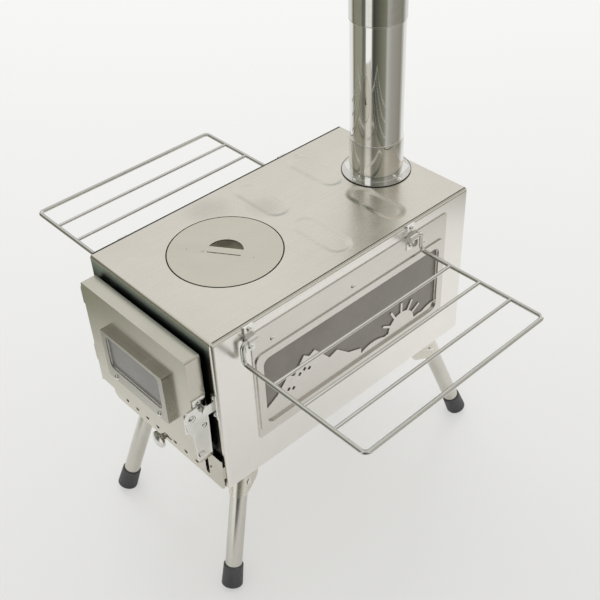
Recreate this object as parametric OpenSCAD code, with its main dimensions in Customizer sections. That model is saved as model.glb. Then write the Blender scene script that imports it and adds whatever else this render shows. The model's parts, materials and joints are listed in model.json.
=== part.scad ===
// Folding wood stove for a tent: sheet steel firebox on four folding legs,
// front door with a small window, a long glazed window and a folding wire
// rack on each side, a round cooking lid and a flue of two pipe sections.
//
// Frame: +Z up, door faces -Y, origin on the floor at the middle of the outline.

/* [Body] */
// Width of the firebox across the side walls
body_w = 210; // [200:1:230]
// Length of the firebox from front to back
body_l = 380; // [370:1:420]
// Height of the firebox
body_h = 210; // [205:1:230]
// Height of the firebox floor above the ground
leg_clear = 160; // [150:1:180]
// Thickness of the folded sheet
sheet = 1.2; // [1:0.1:1.5]
// Thickness of the front frame plate
frame_t = 1.5; // [1.2:0.1:2]
// Outside radius of the two long top bends
bend_r = 4; // [2.5:0.5:6]
// Depth of the pressed stiffening panels in the top
press_deep = 1; // [0.6:0.1:1.4]
// Length of a pressed panel, across the stove
press_l = 84; // [70:1:90]
// Width of a pressed panel
press_w = 34; // [24:1:38]
// Distance of the first pair of pressed panels from the front
press_y = 200; // [196:1:204]
// Distance between the two pairs of pressed panels
press_step = 86; // [80:1:88]
// Space between the two pressed panels of a pair
press_gap = 14; // [8:1:16]

/* [Cooking lid] */
// Diameter of the lid
lid_d = 125.5; // [120:0.5:134]
// Gap between the lid and its hole in the top
lid_gap = 1.5; // [0.8:0.1:2]
// Distance of the lid's middle from the front
lid_y = 108; // [100:1:112]
// Distance of the lid's middle to the left of the stove's middle
lid_left = 3.5; // [0:0.5:6]
// Thickness of the lid plate
lid_t = 1.5; // [1.2:0.1:2]
// Width of the ring under the top on which the lid lies
seat_w = 8; // [6:0.5:12]
// Turn of the grip about the vertical
lid_turn = 34; // [0:1:90]
// Diameter of the half-moon grip
grip_d = 40; // [34:1:46]
// Depth of the grip pocket below the lid
grip_deep = 13; // [10:1:16]
// Distance of the half-moon's straight edge from the lid's middle
grip_up = 4.5; // [1:0.5:6]
// Width of the bar that a lifter hooks under
grip_bar = 10; // [7:0.5:12]

/* [Flue] */
// Distance of the flue's middle from the back of the firebox
flue_back = 41; // [40:1:46]
// Outside diameter of the stub and of the upper pipe
stub_d = 64; // [58:1:68]
// Height of the stub above the top
stub_h = 46; // [35:1:60]
// Wall of the stub and the pipes
pipe_wall = 1; // [0.8:0.1:1.4]
// Radial clearance where one pipe slides into the next
pipe_fit = 0.1; // [0.05:0.05:0.1]
// Length of the lower pipe that stays in sight
pipe_seen = 145; // [100:5:200]
// Length of the upper pipe
pipe_top_l = 150; // [100:5:200]
// Length of a pipe end that is pushed into the next piece
pipe_overlap = 25; // [20:1:32]
// Diameter of the flange screwed to the top
flange_d = 82; // [80:1:82]
// Distance of the flange screws from the flue's middle
flange_screw_r = 36.5; // [36:0.5:37]

/* [Door] */
// Width of the door
door_w = 182; // [176:1:184]
// Height of the door
door_h = 145.5; // [140:0.5:148]
// Distance of the door's top edge below the firebox top
door_drop = 17; // [14:1:20]
// Depth of the door pan
door_deep = 18.4; // [16:0.1:20]
// Gap between the door's rim and the front frame
door_gap = 4.5; // [3.5:0.1:5]
// Width of the mouth in the front frame
mouth_w = 148; // [140:1:150]
// Height of the mouth in the front frame
mouth_h = 112; // [106:1:114]
// Width of the raised window frame on the door
bezel_w = 110; // [106:1:120]
// Height of the raised window frame on the door
bezel_h = 66; // [64:1:70]
// Distance of the window frame's top edge below the door's top edge
bezel_drop = 40; // [36:1:42]
// Height of the window frame above the door's face
bezel_raise = 7.6; // [7:0.1:9]
// Width of the clear opening in the window frame
sight_w = 94; // [84:1:96]
// Height of the clear opening in the window frame
sight_h = 45; // [38:1:46]
// Width of the border above the clear opening
sight_top = 5; // [5:0.5:7]
// Thickness of the door glass
door_glass_t = 3.8; // [3:0.1:4]
// Radius of the hinge pins
hinge_pin_r = 1.5; // [1.2:0.1:1.8]
// Outside radius of the hinge knuckles
knuckle_r = 3; // [2.6:0.1:3.2]
// Distance of the hinge axis outside the door's left edge
hinge_out = 4; // [4:0.1:5]
// Distance of the hinge axis behind the door's face
hinge_back = 3.9; // [3.5:0.1:5]

/* [Latch] */
// Distance of the lever's pivot in front of the firebox
latch_y = 26; // [25:0.5:27]
// Distance of the lever's pivot below the firebox top
latch_drop = 89; // [85:1:92]
// Thickness of the lever and of its backing plate
latch_t = 1.5; // [1.2:0.1:1.8]
// Length of the lever below its pivot
lever_l = 64; // [56:1:70]
// Side play between the lever and the plates beside it
latch_play = 0.3; // [0.2:0.05:0.4]

/* [Air control] */
// Gap between the door and the slotted panel below it
air_gap = 0.8; // [0.5:0.1:2]
// Distance of the panel's face in front of the firebox
air_panel_out = 4.9; // [4.9:0.1:5.2]
// Width of one air slot
air_slot_w = 6; // [5:0.5:7]
// Height of one air slot
air_slot_h = 24; // [20:1:25]
// Distance from one air slot to the next
air_pitch = 20; // [18:0.5:20.5]
// Number of air slots on each side of the knob
air_slots = 4; // [2:1:4]
// Distance of the first air slot from the knob
air_first = 16.5; // [16:0.5:18]
// Height of the knob above the panel's lower edge
air_knob_up = 10; // [9.5:0.5:11]
// Thickness of the slide plate
air_slide_t = 1; // [0.8:0.1:1.2]
// Travel of the slide from open to shut
air_travel = 7; // [6.5:0.5:8]
// Diameter of the knob's head
air_knob_d = 21; // [18:0.5:24]

/* [Side windows] */
// Length of the clear opening
pane_l = 273; // [260:1:280]
// Height of the clear opening
pane_h = 94; // [88:1:98]
// Distance of the clear opening from the front of the firebox
pane_y = 60; // [58:1:64]
// Distance of the clear opening below the firebox top
pane_drop = 57; // [55:1:58]
// Corner radius of the clear opening
pane_r = 9; // [4:0.5:12]
// Width of the raised border around the opening
border = 9; // [8:0.5:10]
// Height of the raised border above its plate
border_raise = 1.6; // [1:0.1:1.7]
// Distance of the plate's top edge below the firebox top
plate_drop = 16; // [14:0.5:17]
// Thickness of the side glass
side_glass_t = 4; // [3:0.1:5]

/* [Racks] */
// Radius of the frame wire
wire_r = 2.5; // [2.2:0.1:2.7]
// Radius of the inner bars
bar_r = 2; // [1.6:0.1:2.2]
// Distance of the hinge axis below the firebox top
rack_axis_drop = 17; // [16.5:0.5:18]
// Distance of the hinge axis outside the side wall
rack_axis_out = 5.2; // [5:0.1:5.6]
// Distance of the right rack's plane below its hinge axis
rack_leg = 24; // [20:1:28]
// Distance of the left rack's plane below its hinge axis
rack_leg_left = 28; // [20:1:28]
// Reach of the rack from its hinge axis
rack_reach = 168; // [140:1:180]
// Distance of the rack's front wire behind the front of the firebox
rack_y = 33.5; // [31:0.5:36]
// Length of the rack between its front and back wires
rack_l = 263.5; // [255:0.5:266]
// Number of inner bars
rack_bars = 3; // [1:1:5]
// Distance from one inner bar to the next
rack_pitch = 41.5; // [30:0.5:42]
// Centre line radius of the small wire bends
wire_bend = 6; // [5:0.5:7]
// Radial clearance of the wire in its clips
clip_fit = 0.05; // [0.03:0.01:0.1]
// Width of a clip along the wire
clip_w = 12; // [10:0.5:13]
// Distance of the front clip behind the end of the wire's front bend
clip_front = 0.5; // [0.3:0.1:3]
// Distance of the back clip before the start of the wire's back bend
clip_back = 2.5; // [0.3:0.1:6]

/* [Legs] */
// Outside diameter of a leg tube
leg_d = 20; // [18:0.5:21]
// Wall of a leg tube
leg_wall = 1; // [0.8:0.1:1.5]
// Lean of a leg from the vertical
leg_lean = 20.4; // [14:0.2:22]
// Direction of the lean, measured from the length of the stove
leg_azimuth = 26.5; // [20:0.5:32]
// Distance of a leg's pivot from the middle of the stove
leg_x = 85; // [80:1:86]
// Distance of a leg's pivot from the end of the firebox
leg_y = 30; // [28:1:34]
// Distance of a leg's pivot below the firebox floor
leg_pivot_drop = 24.7; // [23:0.1:26]
// Radius of the pivot rivets
leg_pin_r = 2.5; // [2:0.1:3]
// Radial clearance between a leg and its rivet, and its bracket
leg_fit = 0.05; // [0.03:0.01:0.1]
// Side gap between a leg tube and its bracket
leg_gap = 0.3; // [0.2:0.05:0.5]
// Radius of the rubber foot at its lower end
foot_r = 12.6; // [12:0.1:14]
// Height of the rubber foot
foot_h = 28; // [22:1:32]
// Depth of rubber pressed flat where the foot meets the floor
foot_flat = 2.2; // [1.5:0.1:2.6]

/* [Hidden] */
$fn = 64;

steel = "#c9c6bc";
steel_side = "#d2cec5";
steel_door = "#b8b6a8";
polished = "#cfcfca";
chrome = "#d8d8d8";
dark_steel = "#8d8a82";
rope = "#d9d5c8";
rubber = "#3f4144";

// Heights of the firebox
floor_z = leg_clear;
top_z = leg_clear + body_h;
half_w = body_w / 2;
inner_w = body_w - 2 * sheet;

// The door, mouth, windows, racks and legs are given for this firebox, and follow a
// wider, longer or taller one by the difference
given_w = 210;
given_l = 380;
given_h = 210;
door_wide = door_w + body_w - given_w;
door_high = door_h + body_h - given_h;
mouth_wide = mouth_w + body_w - given_w;
mouth_high = mouth_h + body_h - given_h;
window_l = pane_l + body_l - given_l;
rack_long = rack_l + body_l - given_l;
leg_out = leg_x + (body_w - given_w) / 2;

// Legs: the end of a foot, seen from its pivot
pivot_z = floor_z - leg_pivot_drop;
leg_reach = (pivot_z - foot_flat) / cos(leg_lean);
foot_edge = 1;
foot_lean_y = sin(leg_lean) * cos(leg_azimuth);
foot_out_y = (leg_reach - foot_edge) * foot_lean_y;
foot_end_half = foot_r * sqrt(1 - pow(foot_lean_y, 2));

// Leg brackets, measured from the pivot
cheek_low = 14;
cheek_in = 26;
cheek_r = 10;
cheek_fold = 14;
block_r = leg_pin_r + 2;
block_clear = 0.5;

// Upper end of a leg tube: pressed flat on both sides, so that it turns inside the nose
bracket_in = leg_d / 2 + leg_gap;
leg_flat = 0.375 * leg_d;
leg_shoulder = 0.45 * leg_d;
leg_end_r = sqrt(pow(bracket_in, 2) - pow(leg_flat, 2)) - leg_gap - leg_fit;

// Outline of the whole stove along Y, from which the origin follows
lever_head_y = 9;
reach_front = latch_y + lever_head_y;
reach_back = body_l - leg_y + foot_out_y + foot_end_half;
front_y = -(reach_back - reach_front) / 2;

// Grate: distances from the walls, and its slots
grate_side = 21;
grate_front = 26;
grate_back = 24;
grate_up = 12;
grate_slot_l = 42;
grate_slot_w = 6;
grate_slot_first = 22;
grate_slot_pitch = 19;
grate_slot_step = 52;

// Door
door_face = -(door_gap + door_deep);
door_top = top_z - door_drop;
door_low = door_top - door_high;
mouth_drop = 16;
mouth_top = door_top - mouth_drop;
mouth_z = mouth_top - mouth_high / 2;
lip_t = 2;
lip_out = door_gap + 4.5;
seal_w = 10;
seal_t = 6;
bezel_top = door_top - bezel_drop;
bezel_face = door_face - bezel_raise;
bezel_x = 0;
sight_z = bezel_top - sight_top - sight_h / 2;
bezel_screw_x = 39.3;
bezel_screw_z = bezel_top - bezel_h + 5;
door_screw_r = 1.7;
glass_over = 2.5;
glass_lap = 1;
hinge_x = -(door_wide / 2 + hinge_out);
hinge_y = door_face + hinge_back;
hinge_below_top = 21;
hinge_above_foot = 40.5;
hinge_drops = [door_drop + hinge_below_top, door_drop + door_high - hinge_above_foot];
hinge_arm_h = 22;
hinge_mid_h = 10;
hinge_play = 0.3;
hinge_fit = 0.05;
leaf_h = 26;
leaf_start = 4;
leaf_deep = 8;
leaf_web = 11;

// Latch
latch_x = door_wide / 2;
latch_z = top_z - latch_drop;
lever_x = latch_x + latch_t + latch_play;
latch_pin_r = 2;
latch_fit = 0.05;
keeper_y = 9;
keeper_pin_r = 1.8;
keeper_side = 6.5;
keeper_up = 4;
keeper_throat = 0.8;
keeper_gap = 2.9;
keeper_x = lever_x + latch_t + keeper_gap;
keeper_t = 1.6;
keeper_screw_up = 12;
tab_rivet_r = 1.6;
tab_rivet_y = 14;
tab_rivet_up = 15;

// Air control
air_top = door_low - air_gap;
air_panel_h = air_top - floor_z;
air_panel_t = sheet;
air_slot_foot = 12;
air_slot_z = floor_z + air_slot_foot + air_slot_h / 2;
air_knob_z = floor_z + air_knob_up;
air_slide_play = 0.3;
air_slide_foot = 6;
air_slide_head = 9;
air_slide_side = 15;
air_slide_low = floor_z + air_slide_foot;
air_slide_top = air_top - air_slide_head;
air_slide_x = half_w - air_slide_side;
air_rail_side = 8;
air_rail_h = 4;
air_rail_lap = 3;
air_xs = [for (side = [-1, 1], k = [0:air_slots - 1]) side * (air_first + k * air_pitch)];
air_stem_r = 3;
air_dimple_side = 21;
air_dimple_drop = 25;

// Side windows, measured along Y from the front and down from the top
pane_mid_y = pane_y + window_l / 2;
pane_mid_z = top_z - pane_drop - pane_h / 2;
plate_y = pane_y - border - 3;
plate_l = window_l + 2 * border + 6;
plate_top = top_z - plate_drop;
plate_low = top_z - pane_drop - pane_h - border - 6;
wall_over = 5;
screw_r = 1.6;
window_screw_front = 15;
window_screw_mid = 4.5;
window_screw_back = 28;
window_screw_ys = [
  pane_y + window_screw_front, pane_mid_y - window_screw_mid, pane_y + window_l - window_screw_back
];
window_screw_z_high = top_z - pane_drop + border + 11;
window_screw_z_low = plate_low + 3.2;
glass_edge = 9;
gasket_t = 0.5;
retainer_t = 1.5;

// Racks
rack_x = half_w + rack_axis_out;
rack_z = top_z - rack_axis_drop;
clip_wall = 1.2;
clip_in_front = wire_bend + clip_front + clip_w / 2;
clip_in_back = wire_bend + clip_back + clip_w / 2;
clip_ys = [rack_y + clip_in_front, rack_y + rack_long - clip_in_back];
clip_tab_h = 13;
clip_screw_up = 11.8;

// Corners at which the legs stand: side, end, name order is right front first
corner_front_right = [1, -1];
corner_front_left = [-1, -1];
corner_back_right = [1, 1];
corner_back_left = [-1, 1];
corners = [corner_front_right, corner_front_left, corner_back_right, corner_back_left];

// ---------------------------------------------------------------- helpers

// Puts what is drawn from the firebox's front face into the stove's frame
module place() { translate([0, front_y, 0]) children(); }

// Mirrors what is drawn for the right side when side is -1
module on_side(side) { mirror([side < 0 ? 1 : 0, 0, 0]) children(); }

// Rectangle with round corners, centred
module round_rect(w, h, r) {
  square([w - 2 * r, h], center = true);
  square([w, h - 2 * r], center = true);
  for (x = [-1, 1], y = [-1, 1]) translate([x * (w / 2 - r), y * (h / 2 - r)]) circle(r);
}

// Slot with round ends, centred, lying along X
module obround(l, w) {
  square([l - w, w], center = true);
  for (x = [-1, 1]) translate([x * (l - w) / 2, 0]) circle(d = w);
}

// Extrudes an XZ outline along +Y
module along_y(l) { rotate([90, 0, 0]) translate([0, 0, -l]) linear_extrude(l) children(); }

// Extrudes an outline drawn in YZ along +X
module along_x(l) { rotate([90, 0, 90]) linear_extrude(l) children(); }

// Round bar along Y
module bar_y(r, l) { rotate([-90, 0, 0]) cylinder(r = r, h = l); }

// Round bar along X
module bar_x(r, l) { rotate([0, 90, 0]) cylinder(r = r, h = l); }

// Low domed screw or rivet head of radius r on the plane z = 0
module dome_head(r, h) {
  rotate_extrude() intersection() {
    translate([0, h - (r * r + h * h) / (2 * h)]) circle((r * r + h * h) / (2 * h));
    square([r, h]);
  }
}

// Quarter bend of a wire that runs along a, then along b
module wire_corner(corner, a, b, r, bend) {
  z = cross(-b, a);
  c = corner + bend * (b - a);
  multmatrix([
    [-b[0], a[0], z[0], c[0]],
    [-b[1], a[1], z[1], c[1]],
    [-b[2], a[2], z[2], c[2]],
    [0, 0, 0, 1]
  ]) rotate_extrude(angle = 90) translate([bend, 0]) circle(r);
}

// Straight wire from p to q, both on one axis direction
module wire_run(p, q, r) {
  d = q - p;
  l = norm(d);
  translate(p) rotate([0, acos(d[2] / l), atan2(d[1], d[0])]) cylinder(r = r, h = l);
}

// ---------------------------------------------------------------- firebox

// Outline of the folded sheet, seen from the front
module shell_outline(w, h, r) {
  translate([-w / 2, 0]) square([w, h - r]);
  translate([-w / 2 + r, 0]) square([w - 2 * r, h]);
  for (x = [-1, 1]) translate([x * (w / 2 - r), h - r]) circle(r);
}

module pressed_panels(grow, h) {
  for (x = [-1, 1], y = [0, 1])
    translate([x * (press_l + press_gap) / 2, press_y + y * press_step, 0])
      linear_extrude(h) obround(press_l + grow, press_w + grow);
}

module window_wall_hole() {
  translate([0, pane_mid_y, pane_mid_z])
    along_x(half_w + 5) round_rect(window_l + 2 * wall_over, pane_h + 2 * wall_over, pane_r);
}

module window_screw_holes(x, l) {
  for (y = window_screw_ys, z = [window_screw_z_high, window_screw_z_low])
    translate([x, y, z]) bar_x(screw_r, l);
}

module body_shell() {
  color(steel) place() difference() {
    union() {
      translate([0, 0, floor_z]) along_y(body_l) difference() {
        shell_outline(body_w, body_h, bend_r);
        shell_outline(inner_w, body_h - sheet, bend_r - sheet);
      }
      translate([0, 0, top_z - sheet - press_deep]) pressed_panels(0, press_deep + 0.2);
    }
    translate([0, 0, top_z - press_deep]) pressed_panels(-2 * press_deep, press_deep + 1);
    translate([-lid_left, lid_y, top_z - 10]) cylinder(d = lid_d + 2 * lid_gap, h = 20);
    translate([0, body_l - flue_back, top_z - 10]) cylinder(d = stub_d - 2 * pipe_wall, h = 20);
    flange_screw_places() translate([0, 0, top_z - 5]) cylinder(r = screw_r, h = 10);
    for (side = [1, -1]) on_side(side) {
      window_wall_hole();
      window_screw_holes(half_w - 5, 10);
      clip_screw_places() bar_x(screw_r, 10);
    }
  }
}

module base_plate() {
  color(steel) place() translate([-inner_w / 2, frame_t, floor_z])
    cube([inner_w, body_l - frame_t - sheet, sheet]);
}

module back_panel() {
  color(steel) place() translate([0, body_l - sheet, floor_z]) along_y(sheet)
    shell_outline(inner_w, body_h - sheet, bend_r - sheet);
}

module front_frame() {
  color(steel) place() difference() {
    union() {
      translate([0, 0, floor_z]) along_y(frame_t)
        shell_outline(inner_w, body_h - sheet, bend_r - sheet);
      translate([0, -lip_out, mouth_z]) along_y(lip_out + frame_t)
        round_rect(mouth_wide + 2 * lip_t, mouth_high + 2 * lip_t, 6);
    }
    translate([0, -lip_out - 1, mouth_z]) along_y(lip_out + frame_t + 2)
      round_rect(mouth_wide, mouth_high, 4);
    for (x = air_xs) translate([x, -1, air_slot_z]) along_y(frame_t + 2)
      rotate(90) obround(air_slot_h, air_slot_w);
    keeper_screw_places() bar_y(screw_r, 10);
  }
}

// Perforated grate on two folded runners, lying on the firebox floor
module fire_grate() {
  w = body_w - 2 * grate_side;
  l = body_l - grate_front - grate_back;
  rows = 1 + floor((l - 2 * grate_slot_first) / grate_slot_pitch);
  color(dark_steel) place() translate([0, grate_front, floor_z + sheet]) difference() {
    translate([-w / 2, 0, 0]) cube([w, l, grate_up + sheet]);
    translate([-w / 2 + sheet, -1, -1]) cube([w - 2 * sheet, l + 2, grate_up + 1]);
    for (x = [-1:1], y = [0:rows - 1])
      translate([x * grate_slot_step, grate_slot_first + y * grate_slot_pitch, grate_up - 1])
        linear_extrude(sheet + 2) obround(grate_slot_l, grate_slot_w);
  }
}

// ---------------------------------------------------------------- lid

module lid_seat() {
  ring_outer = lid_d / 2 + lid_gap + 5;
  color(steel) place() translate([-lid_left, lid_y, top_z - 2 * sheet]) difference() {
    cylinder(r = ring_outer, h = sheet);
    translate([0, 0, -1]) cylinder(r = lid_d / 2 - seat_w, h = sheet + 2);
  }
}

// Piece of a disc behind a straight edge, drawn in the lid's own turned frame
module grip_segment(r, edge) {
  intersection() {
    circle(r);
    translate([-r, edge]) square([2 * r, r - edge]);
  }
}

module cooking_lid() {
  slit_w = 1.2;
  color(steel) place() translate([-lid_left, lid_y, top_z - sheet]) difference() {
    cylinder(d = lid_d, h = lid_t);
    rotate([0, 0, lid_turn]) translate([0, 0, -1]) linear_extrude(lid_t + 2)
      grip_segment(grip_d / 2, grip_up);
    rotate([0, 0, lid_turn]) translate([0, grip_up - grip_bar - slit_w / 2, -1])
      linear_extrude(lid_t + 2) obround(grip_d - 2, slit_w);
  }
}

module lid_grip_pocket() {
  wall = 1;
  r = grip_d / 2 + 1;
  color(dark_steel) place() translate([-lid_left, lid_y, top_z - sheet - grip_deep])
    rotate([0, 0, lid_turn]) difference() {
      linear_extrude(grip_deep) grip_segment(r + wall, grip_up - grip_bar - wall);
      translate([0, 0, wall]) linear_extrude(grip_deep) grip_segment(r, grip_up - grip_bar);
    }
}

// ---------------------------------------------------------------- flue

module flange_screw_places() {
  for (k = [0:3]) translate([0, body_l - flue_back, 0])
    rotate([0, 0, 90 * k]) translate([0, -flange_screw_r, 0]) children();
}

module tube(r_out, r_in, h) {
  difference() {
    cylinder(r = r_out, h = h);
    translate([0, 0, -1]) cylinder(r = r_in, h = h + 2);
  }
}

module flue_collar() {
  stub_r = stub_d / 2;
  color(polished) place() difference() {
    translate([0, body_l - flue_back, top_z]) difference() {
      union() {
        cylinder(d = flange_d, h = sheet);
        cylinder(r = stub_r, h = stub_h);
      }
      translate([0, 0, -1]) cylinder(r = stub_r - pipe_wall, h = stub_h + 2);
    }
    flange_screw_places() translate([0, 0, top_z - 1]) cylinder(r = screw_r, h = 5);
  }
}

module flue_collar_screws() {
  head_r = 3.1;
  color(chrome) place() flange_screw_places() {
    translate([0, 0, top_z + sheet]) dome_head(head_r, 2);
    translate([0, 0, top_z - 4]) cylinder(r = screw_r, h = 4 + sheet);
  }
}

// Section with a plain lower end, a bead at each shoulder and a plain upper end
module pipe_lower() {
  r = stub_d / 2 - pipe_wall - pipe_fit;
  bead_h = 1.4;
  color(polished) place() translate([0, body_l - flue_back, top_z + stub_h]) difference() {
    union() {
      translate([0, 0, -pipe_overlap]) cylinder(r = r, h = pipe_seen + 2 * pipe_overlap);
      cylinder(r = stub_d / 2, h = bead_h);
      translate([0, 0, pipe_seen - bead_h]) cylinder(r = stub_d / 2, h = bead_h);
    }
    translate([0, 0, -pipe_overlap - 1]) cylinder(r = r - pipe_wall, h = pipe_seen + 2 * pipe_overlap + 2);
  }
}

// Section with one bore, in which a small rib stops the lower pipe
module pipe_upper() {
  r = stub_d / 2 - pipe_wall;
  rib_h = 1.6;
  rib_deep = 0.8;
  color(polished) place()
    translate([0, body_l - flue_back, top_z + stub_h + pipe_seen]) {
      tube(stub_d / 2, r, pipe_top_l);
      translate([0, 0, pipe_overlap + 1]) tube(r + pipe_wall / 2, r - rib_deep, rib_h);
    }
}

// ---------------------------------------------------------------- air control

// Panel outline: round lower left corner, small cut at the lower right
module air_panel_outline() {
  w = body_w - 2;
  big = 9;
  cut = 4;
  difference() {
    union() {
      translate([-w / 2 + big, 0]) square([w - big, air_panel_h]);
      translate([-w / 2, big]) square([big, air_panel_h - big]);
      translate([-w / 2 + big, big]) circle(big);
    }
    translate([w / 2, 0]) rotate(45) square(cut * sqrt(2), center = true);
  }
}

module air_panel() {
  flange = 5;
  w = body_w - 2;
  color(steel_door) place() {
    difference() {
      translate([0, -air_panel_out, floor_z]) along_y(air_panel_t) air_panel_outline();
      for (x = air_xs) translate([x, -air_panel_out - 1, air_slot_z]) along_y(air_panel_t + 2)
        rotate(90) obround(air_slot_h, air_slot_w);
      translate([air_travel / 2, -air_panel_out - 1, air_knob_z]) along_y(air_panel_t + 2)
        obround(air_travel + 2 * air_stem_r + 0.6, 2 * air_stem_r + 0.6);
    }
    for (x = [-1, 1])
      translate([x > 0 ? w / 2 - flange : -w / 2 + 1, -air_panel_out + air_panel_t, air_top - 30])
        cube([flange - 1, air_panel_out - air_panel_t, 18]);
    translate([half_w - air_dimple_side, -air_panel_out, air_top - air_dimple_drop])
      rotate([90, 0, 0]) dome_head(4, 1.4);
  }
}

// Two rails that hold the slide against the back of the panel
module air_guides() {
  rail_l = body_w - 2 * air_rail_side;
  back = air_panel_out - air_panel_t;
  slide_room = air_slide_t + 2 * air_slide_play;
  color(dark_steel) place() {
    for (edge = [0, 1])
      translate([-rail_l / 2, -back, edge ? air_slide_top + air_slide_play : air_slide_low - air_rail_h]) {
        cube([rail_l, slide_room, air_rail_h - air_slide_play]);
        translate([0, slide_room, edge ? -air_rail_lap : 0])
          cube([rail_l, back - slide_room, air_rail_lap + air_rail_h - air_slide_play]);
      }
  }
}

module air_slide() {
  y = -air_panel_out + air_panel_t + air_slide_play;
  color(steel) place() difference() {
    translate([-air_slide_x, y, air_slide_low])
      cube([2 * air_slide_x, air_slide_t, air_slide_top - air_slide_low]);
    for (x = air_xs) translate([x, y - 1, air_slot_z]) along_y(air_slide_t + 2)
      rotate(90) obround(air_slot_h, air_slot_w);
  }
}

// Mushroom knob on its stem, turned about the axis that points to the front
module air_knob() {
  stand = 0.4;
  neck_l = 10;
  rim_h = 1.5;
  dome_drop = 14.5;
  head_r = air_knob_d / 2;
  waist_r = 3.4;
  hollow_x = head_r + 1.6;
  stem_l = air_panel_t + air_slide_play + stand;
  color(chrome) place() translate([0, -air_panel_out + air_panel_t + air_slide_play, air_knob_z])
    rotate([90, 0, 0]) rotate_extrude() {
      square([air_stem_r, stem_l + 1]);
      translate([0, stem_l]) difference() {
        square([head_r, neck_l + rim_h]);
        translate([hollow_x, 0]) circle(hollow_x - waist_r);
      }
      translate([0, stem_l + neck_l + rim_h]) intersection() {
        translate([0, -dome_drop]) circle(norm([dome_drop, head_r]));
        square([head_r, 8]);
      }
    }
}

// ---------------------------------------------------------------- side windows

module window_plate(side) {
  color(steel_side) place() on_side(side) difference() {
    union() {
      translate([half_w, plate_y + plate_l / 2, (plate_top + plate_low) / 2])
        along_x(sheet) round_rect(plate_l, plate_top - plate_low, 3);
      translate([half_w + sheet, pane_mid_y, pane_mid_z])
        along_x(border_raise) round_rect(window_l + 2 * border, pane_h + 2 * border, pane_r);
    }
    translate([half_w - 1, pane_mid_y, pane_mid_z])
      along_x(sheet + border_raise + 2) round_rect(window_l, pane_h, pane_r);
    window_screw_holes(half_w - 1, 5);
    clip_screw_places() bar_x(screw_r, 10);
  }
}

// Heights of the hill line above the lower edge of the pane, along its length
hills = [
  [0, 20], [18, 30], [34, 48], [43, 42], [58, 62], [66, 56], [74, 60], [96, 34],
  [108, 38], [126, 22], [146, 15]
];

// Peaks at the front, low rolling hills behind them and a half sun at the back
module scene_outline() {
  foot = 6;
  sun_x = 214;
  sun_r = 22;
  polygon(concat([[0, 0]], hills, [[146, 0]]));
  for (k = [0:5]) translate([140 + k * 26, -30]) circle(38 + 4 * (k % 2), $fn = 96);
  translate([sun_x, foot]) circle(sun_r);
  for (k = [1:5]) translate([sun_x, foot]) rotate(30 * k) translate([sun_r - 2, -1.6]) square([16, 3.2]);
}

// Thin openings that draw the snow line on the two highest peaks
module snow_lines() {
  for (p = [[58, 62], [34, 48]]) translate(p) for (k = [-1, 0, 1])
    translate([k * 7, -20 - 3 * abs(k)]) rotate(45) square(4, center = true);
}

module window_cutout(side) {
  l = window_l + 2 * wall_over - 0.4;
  h = pane_h + 2 * wall_over - 0.4;
  color(steel_side) place() on_side(side) translate([half_w - sheet, pane_mid_y, pane_mid_z])
    along_x(sheet) difference() {
      round_rect(l, h, pane_r);
      difference() {
        round_rect(window_l - 2, pane_h - 2, pane_r);
        translate([-window_l / 2, -pane_h / 2 - 0.5]) scene_outline();
      }
      translate([-window_l / 2, -pane_h / 2 - 0.5]) snow_lines();
    }
}

module window_glass(side) {
  color([0.45, 0.43, 0.4, 0.7]) place() on_side(side)
    translate([half_w - sheet - gasket_t - side_glass_t, pane_mid_y, pane_mid_z])
      along_x(side_glass_t) square([window_l + 2 * glass_edge, pane_h + 2 * glass_edge], center = true);
}

module window_gasket(side) {
  color(rope) place() on_side(side) translate([half_w - sheet - gasket_t, pane_mid_y, pane_mid_z])
    along_x(gasket_t) difference() {
      square([window_l + 2 * glass_edge, pane_h + 2 * glass_edge], center = true);
      round_rect(window_l + 2 * wall_over, pane_h + 2 * wall_over, pane_r);
    }
}

module window_retainer(side) {
  x = half_w - sheet - gasket_t - side_glass_t - retainer_t;
  rim = half_w - sheet - x - retainer_t;
  color(steel) place() on_side(side) difference() {
    translate([x, plate_y + plate_l / 2, (window_screw_z_high + window_screw_z_low) / 2]) {
      h = window_screw_z_high - window_screw_z_low + 8;
      along_x(retainer_t + rim) difference() {
        square([plate_l - 4, h], center = true);
        translate([0, pane_mid_z - (window_screw_z_high + window_screw_z_low) / 2])
          square([window_l + 2 * glass_edge + 0.6, pane_h + 2 * glass_edge + 0.6], center = true);
      }
      along_x(retainer_t) difference() {
        square([plate_l - 4, h], center = true);
        translate([0, pane_mid_z - (window_screw_z_high + window_screw_z_low) / 2])
          round_rect(window_l, pane_h, pane_r);
      }
    }
    window_screw_holes(x - 1, 12);
  }
}

module window_screws(side) {
  shank_l = sheet * 2 + gasket_t + side_glass_t + retainer_t;
  color(chrome) place() on_side(side)
    for (y = window_screw_ys, high = [1, 0])
      translate([half_w + sheet, y, high ? window_screw_z_high : window_screw_z_low]) {
        rotate([0, 90, 0]) dome_head(high ? 3 : 2.4, high ? 1.8 : 0.9);
        translate([-shank_l, 0, 0]) bar_x(screw_r, shank_l);
      }
}

// ---------------------------------------------------------------- racks

module clip_screw_places() {
  for (y = clip_ys, up = [1, -1])
    translate([half_w - 3, y, rack_z + up * clip_screw_up]) children();
}

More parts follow.
